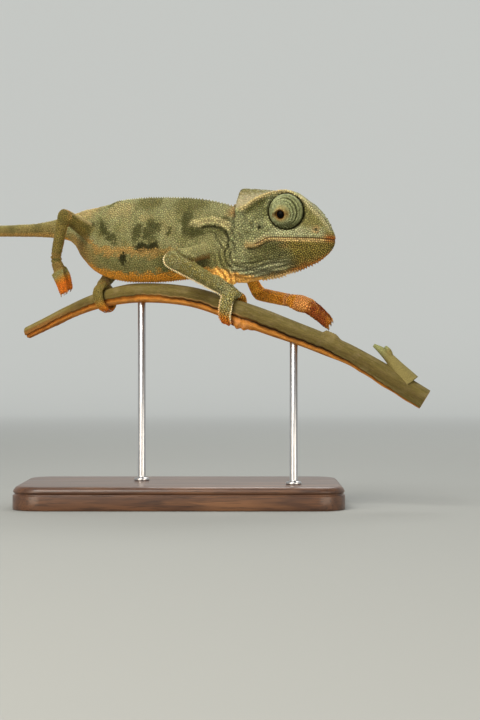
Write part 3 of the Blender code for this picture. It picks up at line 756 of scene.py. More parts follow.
def mouth_gap(u, w):
    """How far above the line of the mouth a place is, in head coordinates."""
    return w - profile(MOUTH, u)


def throat_share(u, w):
    """0 at the edge of the throat, 1 at the mouth."""
    low, high = profile(THROAT, u), profile(MOUTH, u)
    return (w - low) / (high - low)


def crest_distance(u, v, w):
    """Distance from the crest between nostril, eye and casque, measured in the head's cross section."""
    return np.hypot(np.abs(v) - profile(RIDGE_OUT, u), w - profile(RIDGE_UP, u))


def eye_distance(u, w):
    """Distance from the middle of the eye, on a scale on which its slightly tall oval is a circle."""
    return np.hypot(u - EYE_FORWARD, (w - EYE_UP) / 1.04)


def head_relief(u, v, w):
    """Lips, crest, temple, throat folds, nostrils and sockets, each a bump or a groove across a line."""
    inside = ease(-0.6, 0.8, u)
    mouth = mouth_gap(u, w)
    mouth_here = ease(6, 7.4, u) * inside * (1 - 0.7 * ease(28, 30, u))
    relief = mouth_here * (-0.30 * bell(mouth, 0, 0.24) + 0.16 * bell(np.abs(mouth), 0.7, 0.45))
    corner = within(3.2, 4.8, 9.5, 12, u)
    relief += corner * (0.34 * bell(mouth, -0.35, 0.5) + 0.22 * bell(mouth, 0.9, 0.6))
    relief -= 0.34 * within(3.8, 5.5, 12, 16, u) * bell(mouth, -1.1, 0.42)
    crest = crest_distance(u, v, w)
    relief += 0.30 * inside * ease(0.5, 3, u) * bell(crest, 0, 0.8)
    below = (w < profile(RIDGE_UP, u)) & (u < 12)
    relief -= 0.2 * inside * below * bell(crest, 2, 0.8)
    share = throat_share(u, w)
    slack = within(-3.5, 1, 14, 23, u)
    for line, depth in ((0.12, 0.34), (0.2, 0.46), (0.29, 0.5), (0.39, 0.45), (0.5, 0.3), (0.62, 0.16)):
        bent = line + 0.02 * np.sin(0.5 * u + 20 * line) - 0.006 * (u - 6)
        relief -= depth * slack * (bell(share, bent, 0.036) - 0.45 * bell(share, bent + 0.052, 0.03))
    relief -= 0.4 * within(0.5, 4, 9.5, 11.5, w) * bell(u, 0.3, 0.4)
    relief += 0.15 * within(0.5, 4, 10.5, 12.5, w) * bell(u, 1.2, 0.6)
    relief -= 0.35 * fade(0.4, 1.3, np.abs(v)) * (w < 0) * within(3, 7, 29, 30, u)
    nose = np.hypot(u - NOSTRIL[0], w - NOSTRIL[2])
    relief += 0.1 * bell(nose, 0.95, 0.35) - 0.4 * bell(nose, 0, 0.4)
    around_eye = eye_distance(u, w)
    relief += 0.24 * bell(around_eye, SOCKET + 0.8, 0.55)
    relief -= 0.9 * fade(SOCKET - 0.7, SOCKET + 0.25, around_eye) * (np.abs(v) > 2.5)
    return relief


print("eye socket:", 2 * SOCKET, "mm across")

# %% [markdown]
# Behind the head the folds follow the moving parts: waves that slant down the neck, arcs round the
# shoulder, and short creases on the inner side of elbow, wrist, knee and ankle.

# %% Relief of neck and limbs
def neck_relief(u, w):
    """Slanting waves behind the jaw: a wave across them that swings up and down along its own line."""
    here = within(-8, -3.5, 0.2, 1.6, u) * fade(0, 5, w)
    across = 0.92 * u + 0.42 * w + 0.5 * np.sin(0.8 * w - 0.3 * u)
    return 0.34 * here * np.cos(math.tau * across / 1.7)


def shoulder_relief(points):
    """Two arcs round the root of the near arm, cut as grooves with a swelling inside."""
    from_mound = (points - SHOULDER_MOUND) * (1, 0, 1)
    radius = norm(from_mound)
    angle = np.degrees(np.arctan2(from_mound[:, 2], from_mound[:, 0]))
    open_arc = within(-45, -15, 105, 135, angle)
    wobble = 0.35 * np.sin(np.radians(angle) * 3)
    folds = 0.3 * bell(radius, 4.7 + wobble, 0.6) - 0.6 * bell(radius, 5.6 + wobble, 0.42)
    folds += 0.25 * bell(radius, 6.4 + wobble, 0.5) - 0.38 * bell(radius, 7.3 + wobble, 0.4)
    folds -= 0.36 * bell(radius, 3.4 - wobble, 0.4)
    return open_arc * folds


def bend_side(shoulder, elbow, wrist):
    """The direction from a bent joint to the inner side of its bend, half way between its two bones."""
    return unit(unit(shoulder - elbow) + unit(wrist - elbow))


def crease_relief(points):
    """Creases across a joint: a cosine along the limb, deepest on the inner side of the bend."""
    relief = np.zeros(len(points))
    for shoulder, elbow, wrist, _ in LIMBS.values():
        inner = bend_side(shoulder, elbow, wrist)
        for joint, far_end, strength, reach_of in ((elbow, wrist, 0.26, 3.6), (wrist, elbow, 0.22, 3.2)):
            arm = points - joint
            line = unit(far_end - joint)
            near = fade(0.3 * reach_of, reach_of, norm(arm))
            facing = ease(-0.2, 0.8, unit(arm) @ inner) if joint is elbow else 1
            relief += strength * near * facing * np.cos(math.tau * (arm @ line) / 1.15)
    return relief


def elbow_fold(points):
    """A groove from the inner bend of the near elbow up to its outline, with the forearm's side swollen."""
    near_arm = np.isin(skin_form, [number_of("arm_right_upper"), number_of("arm_right_lower")])
    start, end = np.array((4.4, 73.3)), np.array((-1.2, 76.8))
    line = (end - start) / np.linalg.norm(end - start)
    off = points[:, (0, 2)] - start
    along_fold = off @ line
    across = off @ np.array((line[1], -line[0])) + 0.5 * np.sin(math.pi * along_fold / 6.5)
    here = near_arm * within(-0.6, 0.6, 6.4, 7.4, along_fold) * (points[:, 1] < -19)
    swelling = 0.2 * bell(across, 0.9, 0.7) + 0.16 * bell(across, -0.9, 0.7)
    return here * (-0.42 * bell(across, 0, 0.5) + swelling)

# %% [markdown]
# All the relief is added up and moves each point along its own direction. The skin's directions are then
# measured again. What a point's neighbours got is kept, because the colour is painted darker in a fold's
# depth, as painted shade, and paler on its crest, as a painted highlight.

# %% Move the skin
on_trunk = skin_form == number_of("body")
on_skull = skin_form == number_of("head")
u, v, w = to_head(skin).T
relief = np.where(on_skull | on_trunk, head_relief(u, v, w) * (u > -3) + neck_relief(u, w),
                  crease_relief(skin))
relief += np.where(on_trunk & (skin[:, 0] > 0) & (v < 4) & (u < 0.5), shoulder_relief(skin), 0)
relief += elbow_fold(skin) + 0.05 * waves(skin, 2.4, 3)
skin = skin + relief[:, None] * skin_normals
skin_normals = normals_of(skin, skin_quads)
# the mean relief round each point, kept for painted shade in folds and painted highlights on crests
hollow = neighbours_mean(relief[:, None], edges)[:, 0]
print("relief from", round(relief.min(), 2), "to", round(relief.max(), 2), "mm")

# %% [markdown]
# ## Colours of the hide
#
# A flap-necked chameleon at rest is sage green with darker blotches, a pale stripe from the neck over the
# shoulder and an orange underside, painted brighter and warmer here as light from below. The pattern is
# written as soft spots in body coordinates, so skin and scales can ask for the colour of any place and
# always get the same answer.

# %% Pigments and washes
BRIGHTEN = 1.15  # pigment is lighter than it looks in soft light


def pigment(red, green, blue):
    """A screen colour (0 to 255) as lifted linear light: BRIGHTEN times ((c + 0.055) / 1.055) ** 2.4."""
    screen = np.array((red, green, blue)) / 255
    return BRIGHTEN * ((screen + 0.055) / 1.055) ** 2.4


SAGE, OLIVE, MOSS = pigment(136, 135, 94), pigment(106, 103, 60), pigment(74, 74, 36)
BLOTCH, DEEP = pigment(76, 76, 38), pigment(46, 46, 17)
CREAM, STRAW, TAN = pigment(162, 153, 108), pigment(170, 153, 104), pigment(154, 122, 66)
MINT = pigment(150, 150, 114)
ORANGE, RUST, SKIN_PINK = pigment(184, 124, 40), pigment(172, 88, 22), pigment(206, 142, 80)
CHEEK, CASQUE, SNOUT, JAW = (pigment(124, 127, 88), pigment(146, 138, 108), pigment(114, 108, 60),
                             pigment(116, 103, 48))
LIP, POUCH, FOREARM = pigment(182, 154, 100), pigment(228, 172, 88), pigment(138, 127, 74)
SHANK = pigment(112, 97, 46)


def blend_in(colour, other, weight):
    """The colour moved towards another by a weight from 0 to 1."""
    weight = np.clip(weight, 0, 1).reshape(-1, 1)
    return colour * (1 - weight) + other * weight


class Wash:
    """The colours of many places. A call lays another over them, by a weight from 0 to 1 for each."""

    def __init__(self, ground):
        self.colour = ground

    def __call__(self, other, weight):
        self.colour = blend_in(self.colour, other, weight)

    def shade(self, factor):
        """Every colour times its place's factor."""
        self.colour = self.colour * factor[:, None]


def spot(s, q, centre_s, centre_q, long, tall, slant=0):
    """A soft oval on the flank: full in its middle, with an edge a third of its size wide."""
    ds, dq = s - centre_s, q - centre_q
    return fade(0.6, 1.25, np.hypot((ds + slant * dq) / long, dq / tall))


print("sage:", SAGE.round(3))

# %% [markdown]
# ## Trunk and tail, painted
#
# A ground colour comes first, then broad patches, spots, the stripe and the belly. Each is a weight that
# rises and falls softly, and slow noise shifts its place, so that edges are ragged as on an animal.

# %% Colours of trunk and tail
# colour and strength; then for each spot its place along the body in mm, its height from belly (-1) to back
# (1), its half length, its half height and its slant
SPOTS = (
    (STRAW * 0.85, 0.45, ((33.4, 0.52, 2.3, 0.11), (46, 0.72, 7, 0.2))),
    (STRAW * 0.85, 0.15, ((25, 0.3, 2.6, 0.36), (41.5, 0.42, 3, 0.3))),
    (OLIVE * 0.8, 0.9, ((34.5, 0.9, 5.2, 0.24), (19, 0.84, 6, 0.3, 4), (50, 1, 3, 0.12),
                        (59.5, 1, 2.6, 0.2))),
    (BLOTCH * 0.7, 0.9, ((36.8, 0.18, 2.3, 0.24), (30.6, 0.2, 3.2, 0.24, 2), (49.3, 0.2, 2.6, 0.36, -16),
                         (6.8, 0.58, 3.2, 0.13), (18.2, 0.34, 1.9, 0.4, -2), (15, 0.16, 2.8, 0.15),
                         (24.6, 0.14, 0.9, 0.1), (57.5, 0.32, 3, 0.12))),
)
LOW_SPOTS = ((34.2, -0.18, 2.4, 0.13), (29.8, -0.19, 2.6, 0.14), (41, -0.45, 1.7, 0.13))
STRIPE = ((1.5, 0.36), (3.9, 0.42), (6.3, 0.5), (9.3, 0.56), (11.1, 0.53), (14.1, 0.42), (17.6, 0.38))
LOW_LINE = ((20, -0.34), (26.7, -0.36), (35, -0.28), (42.8, -0.26), (47, -0.3), (53.6, -0.24), (58, 0.05))


def trunk_colour(points, s, turn):
    """Sage flanks under an olive back, with blotches, a cream stripe, a tan low line and an orange belly,
    which is partly painted warm light from below.
    """
    q = np.cos(math.tau * turn)
    ragged = waves(points, 3.4, 5)
    qr = q + 0.07 * ragged + 0.05 * waves(points, 0.9, 21)
    sr = s + 0.9 * waves(points, 4.2, 6) + 0.6 * waves(points, 1, 22)
    lay = Wash(SAGE)
    lay(OLIVE, 0.42 + 0.35 * waves(points, 5.5, 7))
    lay(OLIVE, 0.75 * fade(-0.42, -0.22, qr))
    upper = SAGE * (0.84 + 0.16 * ease(38, 44, s))[:, None]
    lay(upper, 0.8 * ease(0.4, 0.8, qr) * fade(54, 60, s))
    for tone, strength, rows in SPOTS:
        for row in rows:
            lay(tone, strength * spot(sr, qr, *row))
    line = profile(LOW_LINE, s)
    on_line = within(18, 24, 56, 60, s)
    lay(TAN, 0.9 * on_line * fade(0.3, 1.2, np.abs(qr - line) / 0.13))
    for row in LOW_SPOTS:
        lay(DEEP * 0.7, 0.97 * spot(sr, qr, *row))
    shaded = within(14, 17, 26, 31, s) * within(-0.95, -0.8, -0.5, -0.2, qr)
    lay(MOSS, 0.7 * shaded)
    stripe = profile(STRIPE, s)
    on_stripe = within(1, 3, 15.5, 18, s)
    lay(MOSS * 0.75, 0.85 * on_stripe * bell(q, stripe - 0.2, 0.12))
    across = np.abs(q + 0.03 * ragged - stripe) / 0.1
    lay(CREAM * 1.2, 0.95 * on_stripe * fade(0.4, 1.3, across))
    nape = fade(5.5, 8.5, s) * ease(0.66, 0.78, q)
    lay(pigment(144, 114, 70), 0.85 * nape)
    lay(CREAM * 0.9, 0.7 * fade(4, 5.5, s) * bell(q, 0.56, 0.16))
    # the orange belly: partly its own colour, partly painted warm light from below
    belly = fade(-0.9, -0.74, qr)
    lay(ORANGE * 1.3, 0.95 * belly)
    groin = within(48, 60, 62, 70, s) * fade(-0.6, -0.1, q)
    lay(TAN, 0.8 * groin)
    # the top of the hips is painted pale straw: partly its own colour, partly painted light on the top
    hips = ease(55, 61, s)
    lay(STRAW * 0.9, hips * fade(66, 78, s) * ease(0.2, 0.8, q))
    tail = ease(66, 76, s)
    banded = 0.5 + 0.5 * np.cos(math.tau * (s - 70) / 11 + 0.8 * ragged)
    over = Wash(pigment(124, 110, 64))
    over(pigment(142, 134, 86), 0.8 * ease(0.2, 1, q))
    over(MOSS, 0.4 * ease(0.55, 0.85, banded))
    over(TAN * 1.1, fade(-0.75, -0.3, qr))
    return blend_in(lay.colour, over.colour, tail)


print("spots on each flank:", sum(len(rows) for *_, rows in SPOTS) + len(LOW_SPOTS))

# %% [markdown]
# ## The head, painted
#
# The bony casque is paler than the cheek, the temple is dark, partly in its own colour and partly as
# painted shadow under the crest, and pale scales line the lips and the crest. The same outlines that gave
# the head its form say where, so the pale lines lie exactly on the edges.

# %% Colours of the head
# the pale edge between the snout's side and its top, from the eye to the nose: (forward, up)
CANTHUS = ((20, 12), (20.7, 11.4), (22.3, 10), (23.8, 8.25), (25.7, 6.4), (27.2, 4.4), (28.8, 2))


def head_colour(points, u, v, w):
    """Green cheeks, a bone-coloured casque, a dark temple that is partly painted shadow under the crest, pale
    lips, an olive jaw and an orange throat, with painted shade in the mouth's slit, the nostrils and the
    socket.
    """
    ragged = waves(points, 2.2, 8)
    fine = waves(points, 1.1, 9)
    crown, ridge = profile(CROWN, u), profile(RIDGE_UP, u)
    mouth, share = mouth_gap(u, w), throat_share(u, w)
    crest = crest_distance(u, v, w)
    lay = Wash(CHEEK * 0.8)
    lay(SAGE, 0.35 + 0.4 * ragged)
    mosaic = waves(points, 1.3, 33) + 0.6 * waves(points, 0.6, 34)
    lay.shade(1 + 0.36 * mosaic)
    snout = ease(20, 23, u + 0.3 * w)
    lay(SNOUT, 0.9 * snout)
    lay(MINT * 0.95, 0.7 * ease(17, 20, u) * bell(w, 2.2, 1.2) * fade(26, 28, u))
    around_eye = eye_distance(u, w)
    # the temple is painted dark: partly its own colour, partly painted shadow under the crest
    temple = (w > 4) & (w < ridge)
    lay(MOSS * 1.3, temple * within(2.5, 5, 9, 11, u)
                      * (0.55 * bell(crest, 2.1, 1) + 0.45 * ease(5, 8, w)))
    for u_at, w_at, long, tall in ((5.2, 9, 1.1, 0.5), (8.4, 9.4, 1.2, 0.5), (9.9, 8.6, 0.8, 0.6),
                                   (7.4, 6.1, 0.7, 0.5), (4.8, 1.8, 0.6, 0.5), (9.8, 7, 0.7, 0.7),
                                   (5.6, 4.6, 0.5, 0.6)):
        lay(MOSS, 0.75 * bell(np.hypot((u - u_at) / long, (w - w_at) / tall), 0, 1.1))
    lay(MINT, 0.75 * bell(w, 2, 1) * within(10, 13, 20, 22, u))
    roof = ease(-0.1, 0.6, w - ridge + 0.15 * (profile(RIDGE_OUT, u) - np.abs(v)))
    from_canthus = w - profile(CANTHUS, u)
    roof = np.maximum(roof, ease(-0.2, 0.5, from_canthus) * ease(19.5, 21, u))
    casque = roof * fade(10.5, 13.5, u)
    lay(CASQUE, casque)
    lay(OLIVE * 0.85, 0.85 * casque * ease(-3.4, -0.5, w - crown))
    lay(MINT * 0.62, roof * ease(19.5, 22, u))
    lay(SAGE * 0.8, 0.8 * roof * within(12, 14, 19, 21, u))
    on_crest = bell(crest, 0.2, 0.8) * within(1, 2.5, 27, 29.5, u)
    lay(pigment(150, 134, 92), 0.9 * on_crest * fade(15, 19, u))
    lay(CREAM * 0.95, 0.9 * on_crest * within(15, 19, 20, 22, u))
    on_canthus = bell(from_canthus, 0, 0.8) * within(19.5, 20.5, 28, 29, u)
    lay(pigment(166, 158, 116), 0.9 * on_canthus)
    for u_at, w_at, size in ((8.3, 3.3, 0.5), (14, -5.25, 0.42), (17.6, -6.1, 0.46), (11.4, -6.9, 0.3)):
        lay(DEEP * 0.5, 1.2 * bell(np.hypot(u - u_at, w - w_at), 0, size))
    jaw = fade(-1.2, -0.6, mouth) * ease(3, 6, u)
    lay(JAW, jaw * ease(12, 17, u + 0.5 * w))
    lay(OLIVE * 0.7, jaw * 0.8 * fade(12, 17, u + 0.5 * w))
    patch = bell(np.hypot((u - 12) / 4.6, (w + 2.6) / 1.3), 0, 1)
    lay(MOSS, 0.7 * patch * (mouth < -0.5))
    lay(TAN * 0.8, 0.5 * bell(np.hypot((u - 15.5) / 1.6, (w + 2.2)), 0, 0.9))
    lower_neck = fade(2, 8, u) * fade(-3.5, -1, w)
    lay(SAGE * 0.95, 0.6 * lower_neck)
    # the folded throat is painted pale mint: partly its own colour, partly painted light that lifts the shade
    # of the downward-facing throat
    folded = fade(13, 19, u) * fade(0.3, 0.5, share)
    lay(MINT * 1.25, 0.7 * folded)
    chin = ease(6, 12, u) * fade(0.06, 0.2, share + 0.03 * ragged)
    lay(blend_in(TAN * 1.2, RUST * 0.9, ease(15, 19, u)), 0.85 * chin)
    lay(TAN, 0.45 * ease(14, 20, u) * fade(0.15, 0.4, share + 0.05 * fine))
    lips = within(6, 7.6, 25, 29, u)
    lay(MINT * 1.05, 0.85 * lips * bell(mouth, 0.85, 0.5))
    lay(LIP, 0.95 * lips * bell(mouth, -0.62, 0.5))
    at_corner = within(3, 4.4, 10, 12, u)
    lay(CREAM * 0.7, 0.8 * at_corner * bell(mouth, 0.7, 0.8) * fade(8.5, 11, u))
    lay(LIP * 0.62, 0.95 * at_corner * bell(mouth, -0.25, 0.75))
    lay(MOSS * 0.8, 0.85 * at_corner * ease(3.8, 5.2, u) * bell(mouth, -1.15, 0.45))
    tip = ease(25.5, 28.5, u)
    lay(RUST * 0.8, 0.8 * tip * bell(mouth, 0.2, 1))
    # the dark line of the mouth: painted shade in the slit between the lips
    lay(pigment(110, 80, 50), 0.95 * ease(6.6, 7.8, u) * bell(mouth, 0, 0.26))
    nose = np.hypot(u - NOSTRIL[0], w - NOSTRIL[2])
    lay(SKIN_PINK * 0.6, 0.35 * bell(nose, 0.8, 0.4))
    # painted shade in the nostril's opening
    lay(DEEP, 0.8 * bell(nose, 0, 0.36))
    # painted shade in the socket round the eyelid
    socket = fade(SOCKET - 0.1, SOCKET + 0.3, around_eye)
    return blend_in(lay.colour, DEEP * 0.8, socket)


print("canthus from", CANTHUS[0], "to", CANTHUS[-1])

# %% [markdown]
# ## The limbs, painted
#
# A limb is green where the light falls and warm where the body hides it. Its colour needs two numbers:
# how far along its form a place lies, and whether it faces the inner side of the joint's bend.

# %% Colours of the limbs
def limb_colour(points, form, along_form):
    """Olive outside with orange undersides and toes; the far arm, seen from within, is all orange: its own
    colour, painted brighter as warm light from below.
    """
    lay = Wash(FOREARM)
    lay(OLIVE, 0.4 + 0.5 * waves(points, 1.9, 10))
    lay(MINT * 0.9, 0.5 * ease(0.1, 0.7, waves(points, 1.1, 15)))
    for limb, (shoulder, elbow, wrist, _) in LIMBS.items():
        foot = limb.replace("arm", "hand").replace("leg", "foot")
        upper, lower = number_of(f"{limb}_upper"), number_of(f"{limb}_lower")
        toes = [number_of(f"{foot}_{part}") for part in ("outer", "inner")]
        palm = number_of(f"{foot}_palm")
        on_limb = np.isin(form, (upper, lower, palm, *toes))
        inner = bend_side(shoulder, elbow, wrist)
        start, end = (shoulder, elbow) if limb.startswith("arm") else (elbow, wrist)
        line = unit(end - start)
        radial = points - start
        radial = unit(radial - (radial @ line)[:, None] * line)
        facing = radial @ unit(inner - (inner @ line) * line)
        under = on_limb & (form == upper)
        lay(SAGE, 0.6 * under * fade(0, 0.5, along_form))
        if limb == "arm_right":
            lay(SAGE, 0.6 * under)
            # the inner side of the upper arm's bend is painted brown: partly the underside's warm colour,
            # partly painted shade between the arm's bones
            below = ease(0.35, 0.9, facing) * within(0.15, 0.35, 0.62, 0.8, along_form)
            lay(pigment(118, 80, 34), 0.7 * under * below)
            wristward = (form == lower) * ease(0.5, 0.95, along_form) + (form == palm)
            lay(MINT * 0.9, 0.45 * wristward)
            lay.shade(1 - 0.3 * (form == lower) * fade(0.05, 0.4, along_form))
            lay.shade(1 + 0.1 * np.isin(form, (palm, toes[0])))
        if limb == "arm_left":
            # the far arm's orange: partly its own colour, partly painted warm light from below, strongest on
            # the upper bone
            warm = np.isin(form, (lower, palm, *toes)) | ((form == upper) & (along_form > 0.2))
            lay(ORANGE * 1.35, 0.95 * warm)
            lay(ORANGE * 1.9, 0.9 * (form == upper) * ease(0.2, 0.4, along_form))
            lay(RUST, 0.5 * warm * ease(0.1, 0.7, waves(points, 3, 12)))
            upside = ease(0.2, 0.8, radial @ UP) * (form == lower)
            lay(OLIVE, 0.6 * upside)
            lay(SKIN_PINK * 0.95, 0.9 * (form == palm))
            toe = np.isin(form, toes)
            lay(ORANGE * 0.95, 0.9 * toe)
            patchy = 1 + 0.3 * waves(points, 2.2, 13) - 0.6 * ease(0.6, 0.95, along_form)
            lay(pigment(124, 62, 25), toe * patchy * ease(0, 0.12, along_form))
        else:
            toe = np.isin(form, toes)
            start = {"arm_right": np.where(form == toes[1], -0.2, 0.46), "leg_left": 0.5}.get(limb, 0.15)
            lay(SHANK, 0.8 * toe * (limb == "leg_left"))
            warm = ORANGE * (0.9 if limb == "leg_right" else 1.1)
            lay(warm, 0.9 * toe * ease(start, start + 0.25, along_form))
            if limb == "arm_right":
                warm = np.where((form == toes[1])[:, None], pigment(172, 142, 96), warm)
            deep = RUST * (1.4 if limb == "leg_right" else 1.25)
            start = np.where(form == toes[1], 0.45, start + 0.08) if limb == "arm_right" else start + 0.15
            lay(deep, 0.85 * toe * ease(start, start + 0.25, along_form))
        if limb.startswith("leg"):
            shin = np.isin(form, (upper, lower, palm))
            lay(SHANK, 0.85 * shin)
            lay(MOSS, 0.5 * shin * ease(-0.1, 0.8, waves(points, 4, 14)))
            lay(TAN * 0.9, 0.8 * (form == lower) * ease(0.1, 0.7, facing))
            lay(TAN * 0.7, 0.6 * (form == palm))
            # the top of the thigh is painted pale straw: partly its own colour, partly painted light on the
            # top
            axis = unit(elbow - shoulder)
            radial = points - shoulder
            above = unit(radial - (radial @ axis)[:, None] * axis) @ UP
            lay(STRAW * 0.9, 0.8 * (form == upper) * ease(0.1, 0.7, above) * fade(0.6, 0.9, along_form))
    return lay.colour


print("limbs:", list(LIMBS))

# %% [markdown]
# ## Any place on the hide
#
# `markings` asks the right painter for each point and lets neighbours run into each other: neck into
# head, pouch into throat, shoulder and hip into the flank. `colour_of` then paints shade into what lies
# deep in a fold and a highlight onto its crest.

# %% The markings
# how high the orange of the throat reaches, in head coordinates: (forward, up)
POUCH_TOP = ((-12, -8.2), (-6, -8.3), (-3, -8.9), (0, -9.6), (3, -10.2), (6, -10.9), (9, -11.3), (13, -11.2))


def colour_of(points, form, along_form, turn):
    """The hide's colour at points on the skin: the markings, with painted shade in a fold and a painted
    highlight on its crest.
    """
    depth = hollow[nearest(points, skin)]
    return markings(points, form, along_form, turn) * np.clip(1 + 1.6 * depth, 0.42, 1.3)[:, None]


def markings(points, form, along_form, turn):
    """The markings alone, from where each point lies on the animal."""
    colour = np.empty((len(points), 3))
    body, skull = form == number_of("body"), form == number_of("head")
    limb = ~(body | skull)
    s = spine_place(along_form)
    uvw = to_head(points)
    if body.any():
        colour[body] = trunk_colour(points[body], s[body], turn[body])
        nape = body & (uvw[:, 0] > -4) & (s < 12)
        share = ease(-2.5, 0.5, uvw[nape, 0]) * fade(5, 8, uvw[nape, 2])
        colour[nape] = blend_in(colour[nape], head_colour(points[nape], *uvw[nape].T), share)
    if skull.any():
        colour[skull] = head_colour(points[skull], *uvw[skull].T)
    # the throat's orange pouch: partly its own colour, partly painted warm light from below
    under = (body | skull) & (uvw[:, 0] > -12) & (uvw[:, 2] < -6)
    if under.any():
        u, _, w = uvw[under].T
        above = w - profile(POUCH_TOP, u) + 0.5 * waves(points[under], 2.2, 8)
        pouch = within(-12, -9, 8, 12, u) * fade(-0.6, 0.5, above)
        colour[under] = blend_in(colour[under], POUCH, 0.95 * pouch)
    if limb.any():
        colour[limb] = limb_colour(points[limb], form[limb], along_form[limb])
        for shoulder, *_ in LIMBS.values():
            root = limb & (norm(points - shoulder) < SHOULDER_REACH)
            if root.any():
                at = nearest(points[root], forms["body"].reshape(-1, 3), (4, 9))
                rings, sides = forms["body"].shape[:2]
                row, column = np.divmod(at, sides)
                flank = trunk_colour(points[root], spine_place(row / (rings - 1)), column / sides)
                share = fade(3, SHOULDER_REACH, norm(points[root] - shoulder))
                colour[root] = blend_in(colour[root], flank, share)
    return np.clip(colour, 0.002, 1)


skin_colour = colour_of(skin, skin_form, skin_along, skin_turn)
print("mean colour of the skin:", skin_colour.mean(0).round(3))

# %% [markdown]
# ## Planting the scales
#
# A chameleon's scales are small round grains that lie side by side. Many more darts than are needed are
# thrown at the skin, more closely where scales are small. A dart that comes first among its neighbours
# stays and drives them away, until no dart is undecided. A few rounds of moving each scale to the middle
# of its own ground even them out.

# %% Scatter scales
SCALE_SIDES = 8
DARTS = 9  # thrown for each scale that fits


def throw_darts(surface, directions, faces, size_at, draw):
    """Random places on these faces, as many on each as its area over the square of its scales' size."""
    corners = np.concatenate([faces[:, :3], faces[:, (0, 2, 3)]])
    a, b, c = surface[corners[:, 0]], surface[corners[:, 1]], surface[corners[:, 2]]
    area = 0.5 * norm(np.cross(b - a, c - a))
    size = size_at[corners].mean(1)
    chances = area / (0.87 * size**2)
    number = int(DARTS * chances.sum())
    pick = draw.choice(len(corners), number, p=chances / chances.sum())
    r, t = np.sqrt(draw.random(number)), draw.random(number)
    weights = np.stack([1 - r, r * (1 - t), r * t], 1)[:, :, None]
    points = (surface[corners[pick]] * weights).sum(1)
    normals = unit((directions[corners[pick]] * weights).sum(1))
    sizes = (size_at[corners[pick]] * weights[:, :, 0]).sum(1)
    return points, normals, sizes * draw.uniform(0.82, 1.18, number)


def thin_out(points, sizes, rank):
    """The darts that come first in rank among those they crowd, once the ones they drive away are gone."""
    i, j, gap = pairs_near(points, points, sizes.max())
    crowded = (i < j) & (gap < 0.42 * (sizes[i] + sizes[j]))
    i, j = i[crowded], j[crowded]
    chosen = np.zeros(len(points), bool)
    undecided = np.ones(len(points), bool)
    while undecided.any():
        behind = np.zeros(len(points), bool)
        behind[np.where(rank[i] < rank[j], j, i)] = True
        first = undecided & ~behind
        chosen |= first
        undecided &= ~first
        undecided[j[first[i]]] = False
        undecided[i[first[j]]] = False
        open_pair = undecided[i] & undecided[j]
        i, j = i[open_pair], j[open_pair]
    return np.flatnonzero(chosen)


def even_out(points, chosen, fixed, rounds=3):
    """Moves each scale that isn't fixed to the dart nearest to the middle of the darts round it."""
    for _ in range(rounds):
        owner = nearest(points, points[chosen])
        count = np.maximum(np.bincount(owner, minlength=len(chosen)), 1)[:, None]
        middle = np.stack([np.bincount(owner, points[:, k], len(chosen)) for k in range(3)], 1) / count
        who, best = best_of(owner, norm(points - middle[owner]))
        free = ~fixed[chosen[who]]
        chosen[who[free]] = best[free]
    return chosen


print("darts for each scale:", DARTS)

# %% [markdown]
# ## The shape of one scale
#
# Each scale fills its ground: in eight directions its edge goes as far as the line half way to its
# neighbours. It is a low dome with its rim sunk into the skin and a flat underside, so it is a closed
# grain of thirty triangles.

# %% Build scales
def outlines(centres, normals, sizes, all_centres, all_normals, all_sizes):
    """Two directions in each scale's plane, and how far its edge lies in each of the eight directions."""
    first = unit(np.cross(normals, np.where(np.abs(normals[:, 2:]) < 0.8, UP, (1, 0, 0))))
    second = np.cross(normals, first)
    i, j, gap = pairs_near(centres, all_centres, 2.2 * all_sizes.max())
    facing = np.einsum("ij,ij->i", normals[i], all_normals[j])
    keep = (gap > 1e-4) & (gap < 1.25 * (sizes[i] + all_sizes[j])) & (facing > 0.2)
    i, j, gap = i[keep], j[keep], gap[keep]
    order = np.argsort(i, kind="stable")
    i, j, gap = i[order], j[order], gap[order]
    away = all_centres[j] - centres[i]
    angle = np.arctan2(np.einsum("ij,ij->i", away, second[i]), np.einsum("ij,ij->i", away, first[i]))
    boundary = gap * sizes[i] / (sizes[i] + all_sizes[j])
    directions = turns(SCALE_SIDES)
    along_it = np.cos(angle[:, None] - directions)
    edge = np.where(along_it > 0.05, boundary[:, None] / np.maximum(along_it, 0.05), 9)
    radius = np.full((len(centres), SCALE_SIDES), 9.0)
    who, start = np.unique(i, return_index=True)
    radius[who] = np.minimum.reduceat(edge, start, axis=0)
    return first, second, np.minimum(radius, 0.72 * sizes[:, None])


def scale_surface(centres, normals, first, second, radius, heights):
    """Rings of a dome: rim at 0.96 of the edge under the skin, shoulder at 0.66 of it, and the top."""
    around = spokes(turns(SCALE_SIDES), first, second)
    blocks = []
    for share, height in ((0.96, np.full(len(centres), -0.05)), (0.66, 0.74 * heights)):
        out = share * radius[..., None] * around
        blocks.append(centres[:, None] + out + height[:, None, None] * normals[:, None])
    top = centres + heights[:, None] * normals
    return np.concatenate([*blocks, top[:, None]], 1)


def grain_faces(count, sides):
    """Faces of one grain, repeated: quads from rim to shoulder, a fan to the top, and a flat underside."""
    here = np.arange(sides)
    after = (here + 1) % sides
    quads = np.stack([here, after, after + sides, here + sides], 1)
    fan = np.stack([here + sides, after + sides, np.full(sides, 2 * sides)], 1)
    start = (2 * sides + 1) * np.arange(count)[:, None, None]
    return [(faces[None] + start).reshape(-1, faces.shape[1]) for faces in (quads, fan, here[None, ::-1])]


PATCH = 0.003


